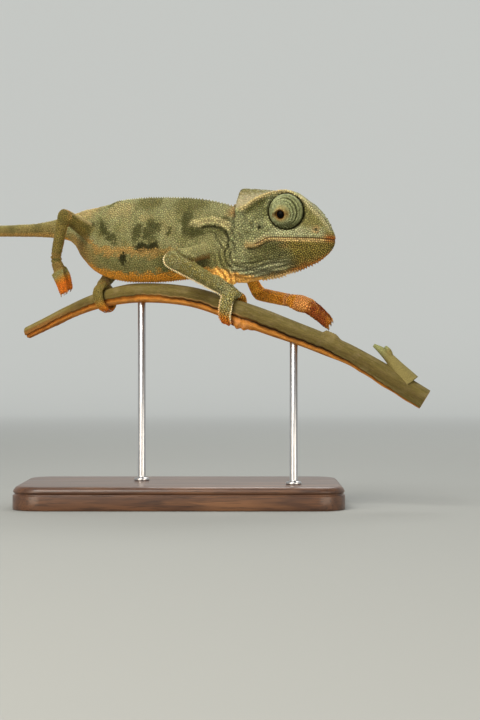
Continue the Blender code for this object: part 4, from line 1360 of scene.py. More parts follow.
def unwrap_patches(piece, chart, sides):
    """The OFBake map: each grain is a patch about 0.003 across at its root's place on the unwrapped skin."""
    mesh = piece.data
    layer = mesh.uv_layers.new(name="OFBake")
    corner = np.empty(len(mesh.loops), np.int32)
    mesh.loops.foreach_get("vertex_index", corner)
    grain, local = np.divmod(corner, 2 * sides + 1)
    turn = math.tau * local / sides
    reach_of = np.select([local < sides, local < 2 * sides], [0.5, 0.33], 0) * PATCH
    root = 0.02 + 0.96 * chart[grain]
    uv = root + reach_of[:, None] * np.stack([np.cos(turn), np.sin(turn)], 1)
    layer.data.foreach_set("uv", uv.astype(np.float32).ravel())


def chart_of(form, along_form, turn, kinds):
    """Unwraps the skin: each form is a strip of the map, with its length along it and its turn across."""
    chart = np.zeros((len(form), 2))
    for place, kind in enumerate(kinds):
        on_it = form == kind
        chart[on_it, 0] = (place + 0.03 + 0.94 * turn[on_it]) / len(kinds)
        chart[on_it, 1] = along_form[on_it]
    return chart


def spread(values):
    """Stretches numbers to fill 0 to 1."""
    return (values - values.min()) / max(np.ptp(values), 1e-6)


print("triangles in a scale:", 2 * SCALE_SIDES + SCALE_SIDES + SCALE_SIDES - 2)

# %% [markdown]
# ## Rows that are not random
#
# Some scales stand in lines: two rows along the lips, a row round each eye, the crest over the eye, the
# edge of the arm. These are placed first, and the random ones fill what is left. Along the mouth's line
# and round the eye sockets stand ghosts, which take up ground but make no scale, so that a clean gap
# stays open.

# %% Guide rows
def on_skin(points):
    """Points moved onto the skin along the direction of the nearest skin point, and that direction."""
    at = nearest(points, skin, (1, 3, 8))
    normal = skin_normals[at]
    return points - np.einsum("ij,ij->i", points - skin[at], normal)[:, None] * normal, normal


def every(outline, spacing, start, end):
    """Places along the head a spacing apart, measured along the outline of a line on it."""
    fine = np.linspace(start, end, 400)
    line = np.stack([fine, profile(outline, fine)], 1)
    run = run_of(line)
    return np.interp(np.arange(spacing / 2, run[-1], spacing), run, fine)


def both_sides(u, v, w):
    """World places of a row on the right of the head and of its mirror image on the left."""
    return on_head(np.concatenate([np.stack([u, side * v, w], 1) for side in (-1, 1)]))


def lip_row(offset, spacing):
    """A row that follows the mouth at a height above or below it."""
    u = every(MOUTH, spacing, 4.4, 29.6)
    return both_sides(u, profile(CHEEK_OUT if offset > 0 else JAW_OUT, u), profile(MOUTH, u) + offset)


def crest_row(spacing):
    """A row along the crest, on both sides of the head."""
    u = every(RIDGE_UP, spacing, 1.5, 29)
    return both_sides(u, profile(RIDGE_OUT, u), profile(RIDGE_UP, u))


def eye_row(radius, spacing):
    """A circle of places round each eye, as many as its length holds spacings."""
    turn = turns(int(math.tau * radius / spacing))
    forward, up = EYE_FORWARD + radius * np.cos(turn), EYE_UP + radius * np.sin(turn)
    return both_sides(forward, np.full(len(turn), 6.0), up)


guides = []  # points, size and whether a scale grows there
for points, size, grows in (
    (lip_row(0, 0.2), 0.16, False), (lip_row(0.44, 0.62), 0.62, True), (lip_row(-0.44, 0.62), 0.62, True),
    (lip_row(0.82, 0.6), 0.56, True), (lip_row(-0.74, 0.6), 0.56, True), (crest_row(0.72), 0.72, True),
    (eye_row(SOCKET + 0.06, 0.25), 0.2, False), (eye_row(SOCKET + 0.5, 0.62), 0.62, True),
):
    placed, normals = on_skin(on_skin(on_skin(points)[0])[0])
    guides.append((placed, normals, np.full(len(placed), size), np.full(len(placed), grows)))
guide_points, guide_normals, guide_sizes, guide_grows = [np.concatenate(column) for column in zip(*guides)]
print("scales and ghosts in rows:", len(guide_points))

# %% [markdown]
# ## Sizes of the scales
#
# Scales are smallest on snout, lips, jaw and toes, larger on the flanks, and broad and flat on the
# casque.

# %% Sizes over the skin
u, v, w = to_head(skin).T
scale_size = np.full(len(skin), 0.56)
scale_size[on_trunk] = 0.62 - 0.12 * ease(62, 90, 0.3 + skin_along[on_trunk] * BODY_LENGTH)
on_face = on_skull | (on_trunk & (u > -1.5))
roof_here = on_face & (w > profile(RIDGE_UP, u) - 0.2)
scale_size[on_face] = 0.64 - 0.1 * ease(8, 22, u[on_face])
scale_size[roof_here] = 0.92 - 0.3 * ease(12, 22, u[roof_here])
on_jaw = on_face & (mouth_gap(u, w) < -1.2) & (u > 9)
scale_size[on_jaw] = 0.54
toe_forms = [number for number, name in enumerate(FORM_NAMES) if name.endswith(("outer", "inner"))]
scale_size[np.isin(skin_form, toe_forms)] = 0.46
near_hand = np.isin(skin_form, [number_of(f"hand_right_{part}") for part in ("palm", "outer", "inner")])
scale_size[near_hand] = 0.56
scale_height = 0.27 * scale_size
scale_height[roof_here] *= 0.4
scale_height[on_face & (u > 19.5) & (w > 2)] *= 0.6
scale_height[on_jaw] *= 1.3
# how dark the skin between the grains is painted, partly its own darker colour and partly painted shade:
# nearly black-green on the jaw, hardly darker on the casque
gap_colour_and_shade = np.full(len(skin), 0.52)
gap_colour_and_shade[roof_here] = 0.82
gap_colour_and_shade[on_jaw] = 0.26 + 0.25 * fade(9, 14, u[on_jaw])
on_lips = on_face & (np.abs(mouth_gap(u, w)) < 1.15) & (u > 7)
gap_colour_and_shade[on_lips] = 0.42
near_mouth = on_face & (np.abs(mouth_gap(u, w)) < 0.2) & (u > 5)
gap_colour_and_shade[near_mouth] = 0.85
on_pouch = (on_skull | on_trunk) & (u > -12) & (u < 9) & (w < profile(POUCH_TOP, u))
gap_colour_and_shade[on_pouch] = 0.78
gap_colour_and_shade[near_hand] = 0.24
# the gaps between grains are painted less dark on the throat's folds, which lifts the painted shade there
folded = on_face & (u < 17) & (throat_share(u, w) < 0.5)
gap_colour_and_shade[folded & ~on_pouch] = 0.5

REGIONS = {  # each piece of the coat, and the forms it covers
    "head_scales": ("head",), "trunk_front_scales": ("body",), "trunk_rear_scales": ("body",),
    "tail_scales": ("body",),
    **{f"{limb}_scales": (f"{limb}_upper", f"{limb}_lower") for limb in LIMBS},
    **{f"{foot}_scales": (f"{foot}_palm", f"{foot}_outer", f"{foot}_inner") for foot in (*GRIPS, *REACHES)},
}
TRUNK_END, TAIL_END = 68, BODY_LENGTH + 1
TRUNK_PARTS = {"trunk_front_scales": (0, 30), "trunk_rear_scales": (30, TRUNK_END),
               "tail_scales": (TRUNK_END, TAIL_END)}

in_socket = on_skull & (eye_distance(u, w) < SOCKET) & (np.abs(v) > 2.5)
open_ground = ~in_socket[skin_quads].any(1)
draw = np.random.default_rng(20)
darts, dart_normals, dart_sizes = throw_darts(skin, skin_normals, skin_quads[open_ground], scale_size, draw)
darts = np.concatenate([guide_points, darts])
dart_normals = np.concatenate([guide_normals, dart_normals])
dart_sizes = np.concatenate([guide_sizes, dart_sizes])
fixed = np.arange(len(darts)) < len(guide_points)
rank = np.where(fixed, np.arange(len(darts)), len(darts) + draw.permutation(len(darts)))
kept = thin_out(darts, dart_sizes, rank)
kept = even_out(darts, kept, fixed)
grows = np.ones(len(darts), bool)
grows[:len(guide_points)] = guide_grows
print("darts:", len(darts), "scales:", int(grows[kept].sum()))

# %% [markdown]
# ## Materials as sums
#
# A node material is arithmetic on what each place of the surface knows: its position, its markings, some
# noise. `Wire` wraps one socket so that it can be added and multiplied like a number. `Finish` makes one
# material.

# %% Shader arithmetic
class Wire:
    """A socket of a material, with the operators that shader maths needs."""

    def __init__(self, finish, socket):
        self.finish, self.socket = finish, socket

    def maths(self, operation, a, b):
        return self.finish.node("ShaderNodeMath", {"operation": operation}, {0: a, 1: b})

    def __add__(self, other):
        return self.maths("ADD", self, other)

    def __sub__(self, other):
        return self.maths("SUBTRACT", self, other)

    def __rsub__(self, other):
        return self.maths("SUBTRACT", other, self)

    def __mul__(self, other):
        return self.maths("MULTIPLY", self, other)

    __radd__, __rmul__ = __add__, __mul__


class Finish:
    """One material, whose nodes are made by `node` and joined to its Principled shader by `surface`."""

    def __init__(self, name, **constants):
        self.material = bpy.data.materials.new(name)
        self.material.use_nodes = True
        self.nodes, self.links = self.material.node_tree.nodes, self.material.node_tree.links
        self.shader = self.nodes["Principled BSDF"]
        self.fill(self.shader, {key.replace("_", " "): value for key, value in constants.items()})

    def fill(self, node, values):
        """Links wires and sets numbers. A Mix node's sockets go by identifier, because their names repeat."""
        for key, value in values.items():
            known = {socket.identifier: socket for socket in node.inputs}
            socket = known[key] if key in known else node.inputs[key]
            if isinstance(value, Wire):
                self.links.new(value.socket, socket)
            else:
                socket.default_value = value

    def node(self, kind, settings, values, output=0):
        """Any node: its settings first, among them a ramp's stops, then its sockets' values or wires."""
        made = self.nodes.new(kind)
        for key, value in settings.items():
            if key == "stops":
                ramp = made.color_ramp.elements
                for place, colour in value[2:]:
                    ramp.new(place)
                for element, (place, colour) in zip(ramp, value):
                    element.position, element.color = place, colour
            else:
                setattr(made, key, value)
        self.fill(made, values)
        known = {socket.identifier: socket for socket in made.outputs}
        return Wire(self, known[output] if output in known else made.outputs[output])

    def position(self, stretch=(1, 1, 1), turn=(0, 0, 0)):
        """The place in the object's own metres, stretched and turned."""
        place = self.node("ShaderNodeTexCoord", {}, {}, "Object")
        return self.node("ShaderNodeMapping", {}, {"Vector": place, "Scale": stretch, "Rotation": turn})

    def attribute(self, name, output="Color"):
        """What the mesh keeps for each point under a name."""
        return self.node("ShaderNodeAttribute", {"attribute_name": name}, {}, output)

    def noise(self, place, scale, detail=3, roughness=0.5):
        """Cloudy noise from 0 to 1, scale waves to a metre."""
        values = {"Vector": place, "Scale": scale, "Detail": detail, "Roughness": roughness}
        return self.node("ShaderNodeTexNoise", {}, values, "Fac")

    def mix(self, factor, a, b, blend="MIX"):
        """Colour a, changed by colour b as far as the factor says."""
        values = {"Factor_Float": factor, "A_Color": a, "B_Color": b}
        return self.node("ShaderNodeMix", {"data_type": "RGBA", "blend_type": blend}, values, "Result_Color")

    def between(self, value, low, high):
        """0 where the value is low or less and 1 where it is high or more."""
        values = {"Value": value, "From Min": low, "From Max": high}
        return self.node("ShaderNodeMapRange", {"interpolation_type": "SMOOTHSTEP"}, values, "Result")

    def ramp(self, stops, factor):
        """A colour for each value of the factor, read between the stops (place, colour)."""
        return self.node("ShaderNodeValToRGB", {"stops": stops}, {"Fac": factor}, "Color")

    def marked(self, stops, factor):
        """The markings times a ramp of mottling."""
        return self.mix(1, self.attribute("Markings"), self.ramp(stops, factor), "MULTIPLY")

    def bump(self, height, distance, strength=1):
        """A normal that leans as if the height stood off by the distance."""
        values = {"Height": height, "Distance": distance, "Strength": strength}
        return self.node("ShaderNodeBump", {}, values, "Normal")

    def surface(self, **values):
        """Joins wires and values to the shader and gives the finished material."""
        self.fill(self.shader, {key.replace("_", " "): value for key, value in values.items()})
        return self.material


def opaque(colour):
    """A colour with full opacity, as a socket takes it."""
    return (*[float(c) for c in colour], 1)


print("a finish offers:", [name for name in vars(Finish) if name[0] != "_"])

# %% [markdown]
# ## The hide's finish
#
# Dry reptile skin is matt with a faint sheen on each grain. The markings come with the mesh, one colour
# for each point. The material adds fine mottling, a slightly uneven gloss and a grain finer than the
# scales.

# %% Hide material
def hide(name, gloss, grain):
    """Markings times mottling of 0.8 to 1.2, with roughness and fine bump from noise of the same place."""
    finish = Finish(name, Specular_IOR_Level=0.1, Subsurface_Weight=0.06, Subsurface_Radius=(1, 0.5, 0.25),
                    Subsurface_Scale=0.0006)
    place = finish.position()
    mottle = finish.noise(place, 2600)
    fine = finish.noise(place, grain, 2)
    shade = finish.marked([(0.3, (0.8, 0.8, 0.78, 1)), (0.7, (1.2, 1.2, 1.2, 1))], mottle)
    bump = finish.bump(fine, 0.00006, 0.5)
    return finish.surface(Base_Color=shade, Roughness=gloss + 0.16 * mottle, Normal=bump)


hide_finish = hide("scaled_hide", 0.46, 9000)
lid_finish = hide("eyelid_hide", 0.42, 11000)
print("hide finishes:", hide_finish.name, lid_finish.name)

# %% [markdown]
# ## Skin and coat become pieces
#
# The skin between the grains is darker than the grains, partly its own colour and partly painted shade,
# which makes each one stand out. Every grain gets one colour from the markings, a little lighter or
# darker than its neighbours', with painted shade on its rim and a painted highlight on its top.

# %% Make skin and scales
def finish_piece(piece, finish):
    """Fixes a piece to the root and gives it its slot and its finish."""
    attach(piece, "root")
    piece.data.materials.append(finish)
    return piece


def coat_piece(name, finish, here, neighbours, colour, heights, chart, gap=0.5):
    """Scales shaped by the ground that their neighbours leave them; gap is how dark the rim is painted as
    shade, and the top is painted lighter as a highlight.
    """
    centres, normals, _ = here
    first, second, radius = outlines(*here, *neighbours)
    points = scale_surface(centres, normals, first, second, radius, heights)
    piece = make_piece(name, points.reshape(-1, 3), *grain_faces(len(centres), SCALE_SIDES))
    tone = chance.normal(1, 0.11, (len(centres), 1, 1)) * chance.normal(1, 0.02, (len(centres), 1, 3))
    gap = np.broadcast_to(gap, len(centres))[:, None]
    rim, shoulder = np.repeat(gap, SCALE_SIDES, 1), np.ones((len(centres), SCALE_SIDES))
    # painted shade on each grain's rim and a painted highlight on its top
    light = np.concatenate([rim, shoulder, 1.6 - 0.65 * gap], 1)
    paint(piece, np.clip(colour[:, None] * tone * light[..., None], 0, 1).reshape(-1, 3))
    unwrap_patches(piece, chart, SCALE_SIDES)
    return finish_piece(piece, finish)


skin_piece = make_piece("hide", skin, skin_quads)
# the skin between the grains, darkened partly as its own colour and partly as painted shade
paint(skin_piece, skin_colour * gap_colour_and_shade[:, None])
finish_piece(skin_piece, hide_finish)
claws_or_stand = ("claw", "perch", "stand", "eye")
flesh = [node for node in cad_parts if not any(word in node for word in claws_or_stand)]
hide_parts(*flesh)

centres, centre_normals, centre_sizes = darts[kept], dart_normals[kept], dart_sizes[kept]
everyone = (centres, centre_normals, centre_sizes)
centre_form, centre_along, centre_turn = place_on_body(centres)
centre_colour = colour_of(centres, centre_form, centre_along, centre_turn)
home = nearest(centres, skin)
centre_height = scale_height[home] * centre_sizes / scale_size[home]
for name, parts in REGIONS.items():
    kinds = [number_of(part) for part in parts]
    mine = grows[kept] & np.isin(centre_form, kinds)
    if name in TRUNK_PARTS:
        low, high = TRUNK_PARTS[name]
        length = spine_place(centre_along)
        mine &= (length >= low) & (length < high)
    chart = chart_of(centre_form[mine], centre_along[mine], centre_turn[mine], kinds)
    chart[:, 1] = spread(chart[:, 1])
    piece = coat_piece(name, hide_finish, tuple(column[mine] for column in everyone), everyone,
                       centre_colour[mine], centre_height[mine], chart, gap_colour_and_shade[home[mine]])
    print(name, int(mine.sum()), "scales", triangles_of(piece), "triangles")
print("hide replaces", len(flesh), "nodes,", triangles_of(skin_piece), "triangles")

# %% [markdown]
# ## Cones and the fringe of the arm
#
# Under the chin stands a row of soft cones, orange in front and cream behind, with lower rows beside it.
# Smaller ones follow the belly and the back. The outer edge of the near arm carries a row of pale pointed
# scales from above the elbow to the toes, pale in their own colour and painted paler still as rim light.

# %% Cones
CONE_SIDES = 6


def spikes(name, roots, outward, lengths, widths, lean, colour, chart):
    """Six-sided cones: a ring under the skin, a narrower one half way up, and a point that leans over."""
    outward, lean = unit(outward), np.broadcast_to(lean, roots.shape)
    first = unit(np.cross(outward, (0.31, 0.77, 0.55)))
    around = spokes(turns(CONE_SIDES), first, np.cross(outward, first))
    rings = []
    for up, wide, over in ((-0.3, 0.5, 0), (0.4, 0.34, 0.12)):
        middle = roots + lengths[:, None] * (up * outward + over * lean)
        rings.append(middle[:, None] + wide * widths[:, None, None] * around)
    top = roots + lengths[:, None] * (outward + 0.4 * lean)
    points = np.concatenate([*rings, top[:, None]], 1)
    piece = make_piece(name, points.reshape(-1, 3), *grain_faces(len(roots), CONE_SIDES))
    # painted shade at each cone's foot and a painted highlight at its point
    light = np.repeat((0.5, 0.95, 1.2), (CONE_SIDES, CONE_SIDES, 1))[None, :, None]
    tone = chance.normal(1, 0.07, (len(roots), 1, 1))
    paint(piece, np.clip(colour[:, None] * tone * light, 0, 1).reshape(-1, 3))
    unwrap_patches(piece, chart, CONE_SIDES)
    finish_piece(piece, hide_finish)
    print(name, len(roots), "cones")


def head_line(spacing, start, end, outline, v=0):
    """Places a spacing apart on an outline of the head, v to its left."""
    u = every(outline, spacing, start, end)
    return on_head(np.stack([u, np.full(len(u), v), profile(outline, u)], 1)), u


roots, lengths, widths, ahead = [], [], [], []
CONE_ROWS = ((0, 0.95, 0.95), (-0.8, 0.9, 0.62), (0.8, 0.9, 0.62), (-1.6, 0.85, 0.42), (1.6, 0.85, 0.42))
for v, spacing, size in CONE_ROWS:  # place to the left, spacing and length
    row, row_u = head_line(spacing, 8 + abs(v), 29.3 - 0.9 * abs(v), THROAT, v)
    roots.append(row)
    ahead.append(row_u)
    fading = (0.6 + 0.4 * bell(row_u, 16, 8)) * (1 - 0.55 * ease(22, 28, row_u))
    lengths.append(1.1 * size * fading * chance.uniform(0.85, 1.15, len(row)))
    widths.append(np.full(len(row), 0.98 if v == 0 else 0.74))
roots, normals = on_skin(np.concatenate(roots))
ahead, lengths, widths = np.concatenate(ahead), np.concatenate(lengths), np.concatenate(widths)
tone = blend_in(pigment(212, 178, 124), pigment(156, 104, 46), ease(16, 21, ahead))
tone = blend_in(tone, POUCH, fade(8, 12, ahead))
spikes("throat_cones", roots, normals, lengths, widths, 0.5 * FORWARD, tone,
       np.stack([spread(ahead), spread(np.arange(len(ahead)))], 1))

distance = np.arange(2, 66, 0.95)
back = body_surface(distance, np.zeros(len(distance)))
belly = body_surface(distance, np.full(len(distance), math.pi))
roots, normals = on_skin(np.concatenate([back, belly]))
size = np.concatenate([0.42 * fade(35, 66, distance) + 0.12, 0.36 * fade(40, 66, distance) + 0.1])
form, along_form, turn = place_on_body(roots)
spikes("back_and_belly_cones", roots, normals, size, 0.5 + 0.3 * size, -0.4 * FORWARD,
       1.15 * colour_of(roots, form, along_form, turn),
       np.stack([spread(np.tile(distance, 2)), np.repeat((0.2, 0.8), len(distance))], 1))


def outer_edge(rings, direction):
    """The place on each ring that lies furthest in a direction."""
    return rings[np.arange(len(rings)), (rings @ np.array(direction)).argmax(1)]


FRINGE_STEP = 0.52
bend = np.radians(np.linspace(118, 236, 14))
round_elbow = LIMBS["arm_right"][1] + 2.75 * np.stack([np.cos(bend), np.zeros(14), np.sin(bend)], 1)
along_arm = outer_edge(forms["arm_right_lower"][8:-6], (-0.40, -0.15, -0.9))
toes_left = forms["hand_right_outer"][5:-6, 20]
toes_right = forms["hand_right_outer"][9:-6, 0]
for name, path, length in (("arm_fringe", np.vstack([round_elbow, along_arm, toes_left]), 0.62),
                           ("hand_fringe", toes_right, 0.36)):
    roots, normals = on_skin(along(path, np.arange(0.3, run_of(path)[-1], FRINGE_STEP)))
    outward = unit(normals + (0.6 * unit((-0.5, -0.35, -0.8)) if name == "arm_fringe" else 0))
    sizes = length * ease(0, 3, np.arange(len(roots)) * FRINGE_STEP) + 0.12
    # the fringe's pale colour: partly the scales' own, partly painted rim light along the arm's edge
    tone = blend_in(pigment(244, 220, 172), pigment(214, 150, 80),
                    ease(0.72, 1, np.linspace(0, 1, len(roots))))
    spikes(name, roots, outward, sizes, np.full(len(roots), 0.6), 0.3 * FORWARD, tone,
           np.stack([spread(np.arange(len(roots))), np.full(len(roots), 0.5)], 1))

# %% [markdown]
# ## The eyes
#
# A chameleon's eyeball is covered by one cone-shaped lid with a hole no wider than the pupil. The lid
# turns with the eye, so its folds are rings round the hole. Here they are circles that start at the hole,
# off centre because the animal looks a little back and down, and slide to the middle of the socket as
# they widen.

# %% Shape of the lid
GAZE = np.array((-1.55, -1.15))  # the hole's place on the lid, forward and up from the middle
HOLE, MARGIN = 1.42, 0.12  # radius of the hole, and the width of its swollen edge
LID_EDGE, TALLER = 4.98, 1.04  # radius of the lid at the socket, and how much taller it is than long
LID_FOLDS = ((0.16, 0.1), (0.34, 0.16), (0.5, 0.2), (0.68, 0.42), (0.84, 0.16))  # place, depth


def lid_dome(x, y):
    """How far out the lid stands at x, y from its middle: an ellipse's arc over each radius."""
    long, thick, tall = EYE_RADII
    return EYE_OUT + (thick - COAT) * np.sqrt(np.clip(1 - (x / long) ** 2 - (y / tall) ** 2, 0, 1))


def lid_point(side, share, turn):
    """A place on the lid, share 0 at the hole and 1 at the edge, with ring folds and a swollen margin."""
    centre = (1 - share)[:, None] ** 1.15 * GAZE
    radius = HOLE + MARGIN + (LID_EDGE - HOLE - MARGIN) * share
    notch = 1 + 0.3 * fade(0, 0.3, share) * bell(np.abs(turn - math.radians(172)), 0, 0.35)
    x = centre[:, 0] + radius * notch * np.cos(turn)
    y = TALLER * (centre[:, 1] + radius * notch * np.sin(turn))
    out = lid_dome(x, y) + 0.16 * bell(share, 0.03, 0.05) - lid_fold(share, turn)
    return on_head(np.stack([EYE_FORWARD + x, side * out, EYE_UP + y], 1))


def lid_fold(share, turn):
    """The depth of the ring folds, deepest on the front of the lid, where it is gathered."""
    wander = share + 0.012 * np.sin(3 * turn + 1) + 0.006 * np.sin(11 * turn)
    rings = sum(depth * bell(wander, place, 0.032) for place, depth in LID_FOLDS)
    in_front = 0.2 + 0.8 * (0.5 + 0.5 * np.cos(turn - 0.2)) ** 1.5
    return rings * in_front + 0.02 * np.sin(26 * turn) * ease(0.1, 0.3, share)


def lid_grid(side, rows=80, columns=128):
    """The lid's rings: down the hole's wall, over the dome, and a skirt into the socket."""
    turn = np.tile(turns(columns), rows)
    share = np.repeat(np.linspace(0, 1, rows), columns)
    dome = lid_point(side, share, turn).reshape(rows, columns, 3)
    hole, edge = dome[0], dome[-1]
    middle = hole.mean(0)
    wall = [middle + (hole - middle) * size - gaze_out(side) * depth
            for size, depth in ((0.86, 0.75), (0.9, 0.35), (0.94, 0.12))]
    skirt = [edge - side * LEFT * depth for depth in (0.8, 2.6)]
    return np.concatenate([np.array(wall), dome, np.array(skirt)])


def gaze_out(side):
    """The direction straight out of the hole: the slope of the lid's ellipse there."""
    long, thick, tall = EYE_RADII
    x, y = GAZE
    out = lid_dome(np.array([x]), np.array([y]))[0] - EYE_OUT
    local = unit(np.array((x / long**2, side * out / thick**2, y / tall**2)))
    return local[0] * FORWARD + local[1] * LEFT + local[2] * UP


print("the hole looks towards", [round(float(part), 2) for part in gaze_out(-1)])

# %% [markdown]
# The lid is pale green with a dark line of painted shade in each fold, darker below, darker again on its
# back edge as painted shade, and tan round the hole. To colour a point, the ring on which it lies has to
# be found first. A ring's middle depends on its own size, so a first guess is mended a few times.

# %% Colours of the lid
def lid_colour(points):
    """Pale sage, greener towards the front, with painted shade in the folds, on the back edge and at the rim
    of the socket; cream and tan round the hole.
    """
    u, _, w = to_head(points).T
    x, y = u - EYE_FORWARD, (w - EYE_UP) / TALLER
    from_hole, from_middle = np.hypot(x - GAZE[0], y - GAZE[1]), np.hypot(x, y)
    share = np.clip((from_hole - HOLE) / (LID_EDGE - HOLE), 0, 1)
    for _ in range(4):  # the ring through a point: its middle depends on its own size
        middle = (1 - share)[:, None] ** 1.15 * GAZE
        away = np.hypot(x - middle[:, 0], y - middle[:, 1]) - HOLE - MARGIN
        share = np.clip(away / (LID_EDGE - HOLE - MARGIN), 0, 1)
    turn = np.arctan2(y - middle[:, 1], x - middle[:, 0])
    flecks = ease(0.1, 0.7, np.sin(34 * turn + 5 * np.sin(40 * share)))
    flecks *= ease(0, 0.5, waves(points, 1.6, 31))
    lay = Wash(pigment(146, 151, 112))
    lay(pigment(130, 135, 92), 0.7 * ease(-1, 2.5, x + 0.2 * y))
    mottled = waves(points, 1.3, 35) + 0.8 * waves(points, 0.7, 36)
    lay.shade(1 + 0.22 * mottled)
    lay(pigment(88, 96, 54), 0.5 * flecks * ease(0.15, 0.3, share))
    lay(pigment(150, 140, 90), 0.8 * fade(0.1, 0.4, share))
    below = fade(-4.4, -2, y) * (0.72 + 0.28 * np.sin(30 * turn + 2 * np.sin(3 * y)))
    lay(pigment(46, 50, 22), below * ease(0.12, 0.3, share))
    # painted shade on the back edge of the lid, where its dome turns away
    lay(pigment(84, 84, 52), 0.5 * fade(-4.6, -3.4, x))
    # painted shade: a dark ring in each fold
    lay(DEEP, np.clip(4.5 * lid_fold(share, turn), 0, 0.9))
    aside = np.arctan2(y - GAZE[1], x - GAZE[0])
    wedge = bell(aside, 0.15, 0.5) * fade(2.1, 3.4, from_hole)
    wedge += bell(np.abs(aside), 3.1, 0.25) * (from_hole < 2.4)
    lay(pigment(146, 126, 80), 0.9 * fade(0.02, 0.13, share))
    lay(pigment(104, 80, 40), 0.85 * wedge)
    # painted shade where the lid's edge sinks into the socket
    return blend_in(lay.colour, DEEP, 0.85 * ease(4.7, 5, from_middle))


print("lid folds:", len(LID_FOLDS))

# %% [markdown]
# Behind the hole lies a real ball with a wet shine, a dark pupil and a thin brown iris, because a painted
# dot would not catch the light. Lids get small grains of their own, planted in the same way as the coat.

# %% Eyeballs and lids
BALL_RADIUS, BALL_DEPTH = 2.4, 0.22  # the eyeball, and how far behind the hole it starts


def eyeball(side):
    """A ball just behind the hole, with the pupil at its front: circles of latitude round the gaze."""
    out = gaze_out(side)
    x, y = GAZE
    front = on_head(np.array((EYE_FORWARD + x, side * lid_dome(np.array([x]), np.array([y]))[0], EYE_UP + y)))
    centre = front - (BALL_RADIUS + BALL_DEPTH) * out
    across = unit(np.cross(out, UP))
    polar = np.linspace(0.02, math.pi - 0.02, 40)
    around = np.sin(polar)[:, None, None] * spokes(turns(48), across, np.cross(across, out))
    grid = centre + BALL_RADIUS * (np.cos(polar)[:, None, None] * out + around)
    return grid, centre, out


cornea = Finish("cornea", Roughness=0.12, Coat_Weight=0.02, Coat_Roughness=0.02, Specular_IOR_Level=0.03)
cornea_finish = cornea.surface(Base_Color=cornea.marked(
    [(0.3, (0.7, 0.7, 0.7, 1)), (0.7, (1.2, 1.15, 1, 1))], cornea.noise(cornea.position(), 6000)))

for side, name in ((-1, "right"), (1, "left")):
    grid = lid_grid(side)
    lid = tube_piece(f"eyelid_{name}", grid)
    # the lid's skin between its grains is painted darker: partly its own colour, partly painted shade
    paint(lid, lid_colour(tube_points(grid)) * 0.7)
    finish_piece(lid, lid_finish)
    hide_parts(f"eye_{name}")

    dome = grid[3:-2]
    surface = dome.reshape(-1, 3)
    dome_quads = tube_faces(*dome.shape[:2])[0]
    directions = normals_of(surface, dome_quads)
    directions *= np.sign(directions @ (side * LEFT))[:, None]
    even = np.full(len(surface), 0.37)
    spots, spot_normals, spot_sizes = throw_darts(surface, directions, dome_quads, even, draw)
    chosen = thin_out(spots, spot_sizes, draw.permutation(len(spots)))
    chosen = even_out(spots, chosen, np.zeros(len(spots), bool))
    grains = (spots[chosen], spot_normals[chosen], spot_sizes[chosen])
    x, y = (to_head(grains[0])[:, [0, 2]] - (EYE_FORWARD, EYE_UP)).T
    chart = np.stack([spread(x), spread(y)], 1)
    coat_piece(f"eyelid_{name}_scales", lid_finish, grains, grains, lid_colour(grains[0]),
               0.2 * grains[2], chart, 0.68)

    ball, centre, out = eyeball(side)
    points = tube_points(ball)
    angle = np.degrees(np.arccos(np.clip(unit(points - centre) @ out, -1, 1)))
    iris = blend_in(pigment(3, 3, 3), pigment(120, 84, 36), ease(30, 32, angle))
    iris = blend_in(iris, pigment(50, 30, 16), ease(34, 38, angle))
    eye = tube_piece(f"eyeball_{name}", ball)
    paint(eye, iris)
    finish_piece(eye, cornea_finish)
    print(f"eyelid_{name}:", len(chosen), "grains, gaze", out.round(2))

# %% [markdown]
# ## Claws
#
# Each toe ends in a curved claw. It is a circle carried round an arc, with a radius that shrinks to a
# point.

# %% Claws
CLAW_LENGTH, CLAW_RADIUS, CLAW_BEND = 1.5, 0.36, math.radians(60)

horn = Finish("horn", Specular_IOR_Level=0.5, Coat_Weight=0.2)
horn_mottle = horn.noise(horn.position(), 3000)
horn_pale, horn_dark = opaque(pigment(176, 130, 78)), opaque(pigment(74, 48, 30))
horn_finish = horn.surface(Base_Color=horn.mix(horn.attribute("Tip", "Fac"), horn_pale, horn_dark),
                           Roughness=0.25 + 0.25 * horn_mottle, Normal=horn.bump(horn_mottle, 0.00003))


def claw_grid(centre, across, forward, inward, rows=12, columns=14):
    """Rings along an arc that bends inward; the radius falls as the square root of what is left."""
    share = np.linspace(0, 1, rows)
    bend = share * CLAW_BEND
    arc = CLAW_LENGTH / CLAW_BEND
    line = centre + arc * (np.sin(bend)[:, None] * forward + (1 - np.cos(bend))[:, None] * inward)
    over = np.cos(bend)[:, None] * inward - np.sin(bend)[:, None] * forward
    radius = CLAW_RADIUS * np.sqrt(1 - 0.985 * share) * (1 - 0.25 * share)
    return line[:, None] + radius[:, None, None] * spokes(turns(columns), 0.8 * across, over)


claw_pieces = {}
for stem, centre, across, forward, inward, toes in claw_roots:
    foot = stem.rsplit("_", 1)[0]
    width = 1.9 * TOE_END[0] / toes
    for claw in range(toes):
        root = centre + (claw - (toes - 1) / 2) * width * across + 0.15 * forward
        grid = claw_grid(root, across, forward, inward)
        claw_pieces.setdefault(foot, []).append((grid, f"{stem}_claw_{claw + 1}"))
for foot, claws in claw_pieces.items():
    piece = make_piece(f"{foot}_claws", *join_tubes([grid for grid, node in claws]))
    rows, columns = claws[0][0].shape[:2]
    tip = np.concatenate([np.repeat(np.linspace(0, 1, rows), columns), (0, 1)])
    measure(piece, "Tip", np.tile(ease(0.35, 0.95, tip), len(claws)))
    finish_piece(piece, horn_finish)
    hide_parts(*[node for grid, node in claws])
print("claws:", sum(len(claws) for claws in claw_pieces.values()))

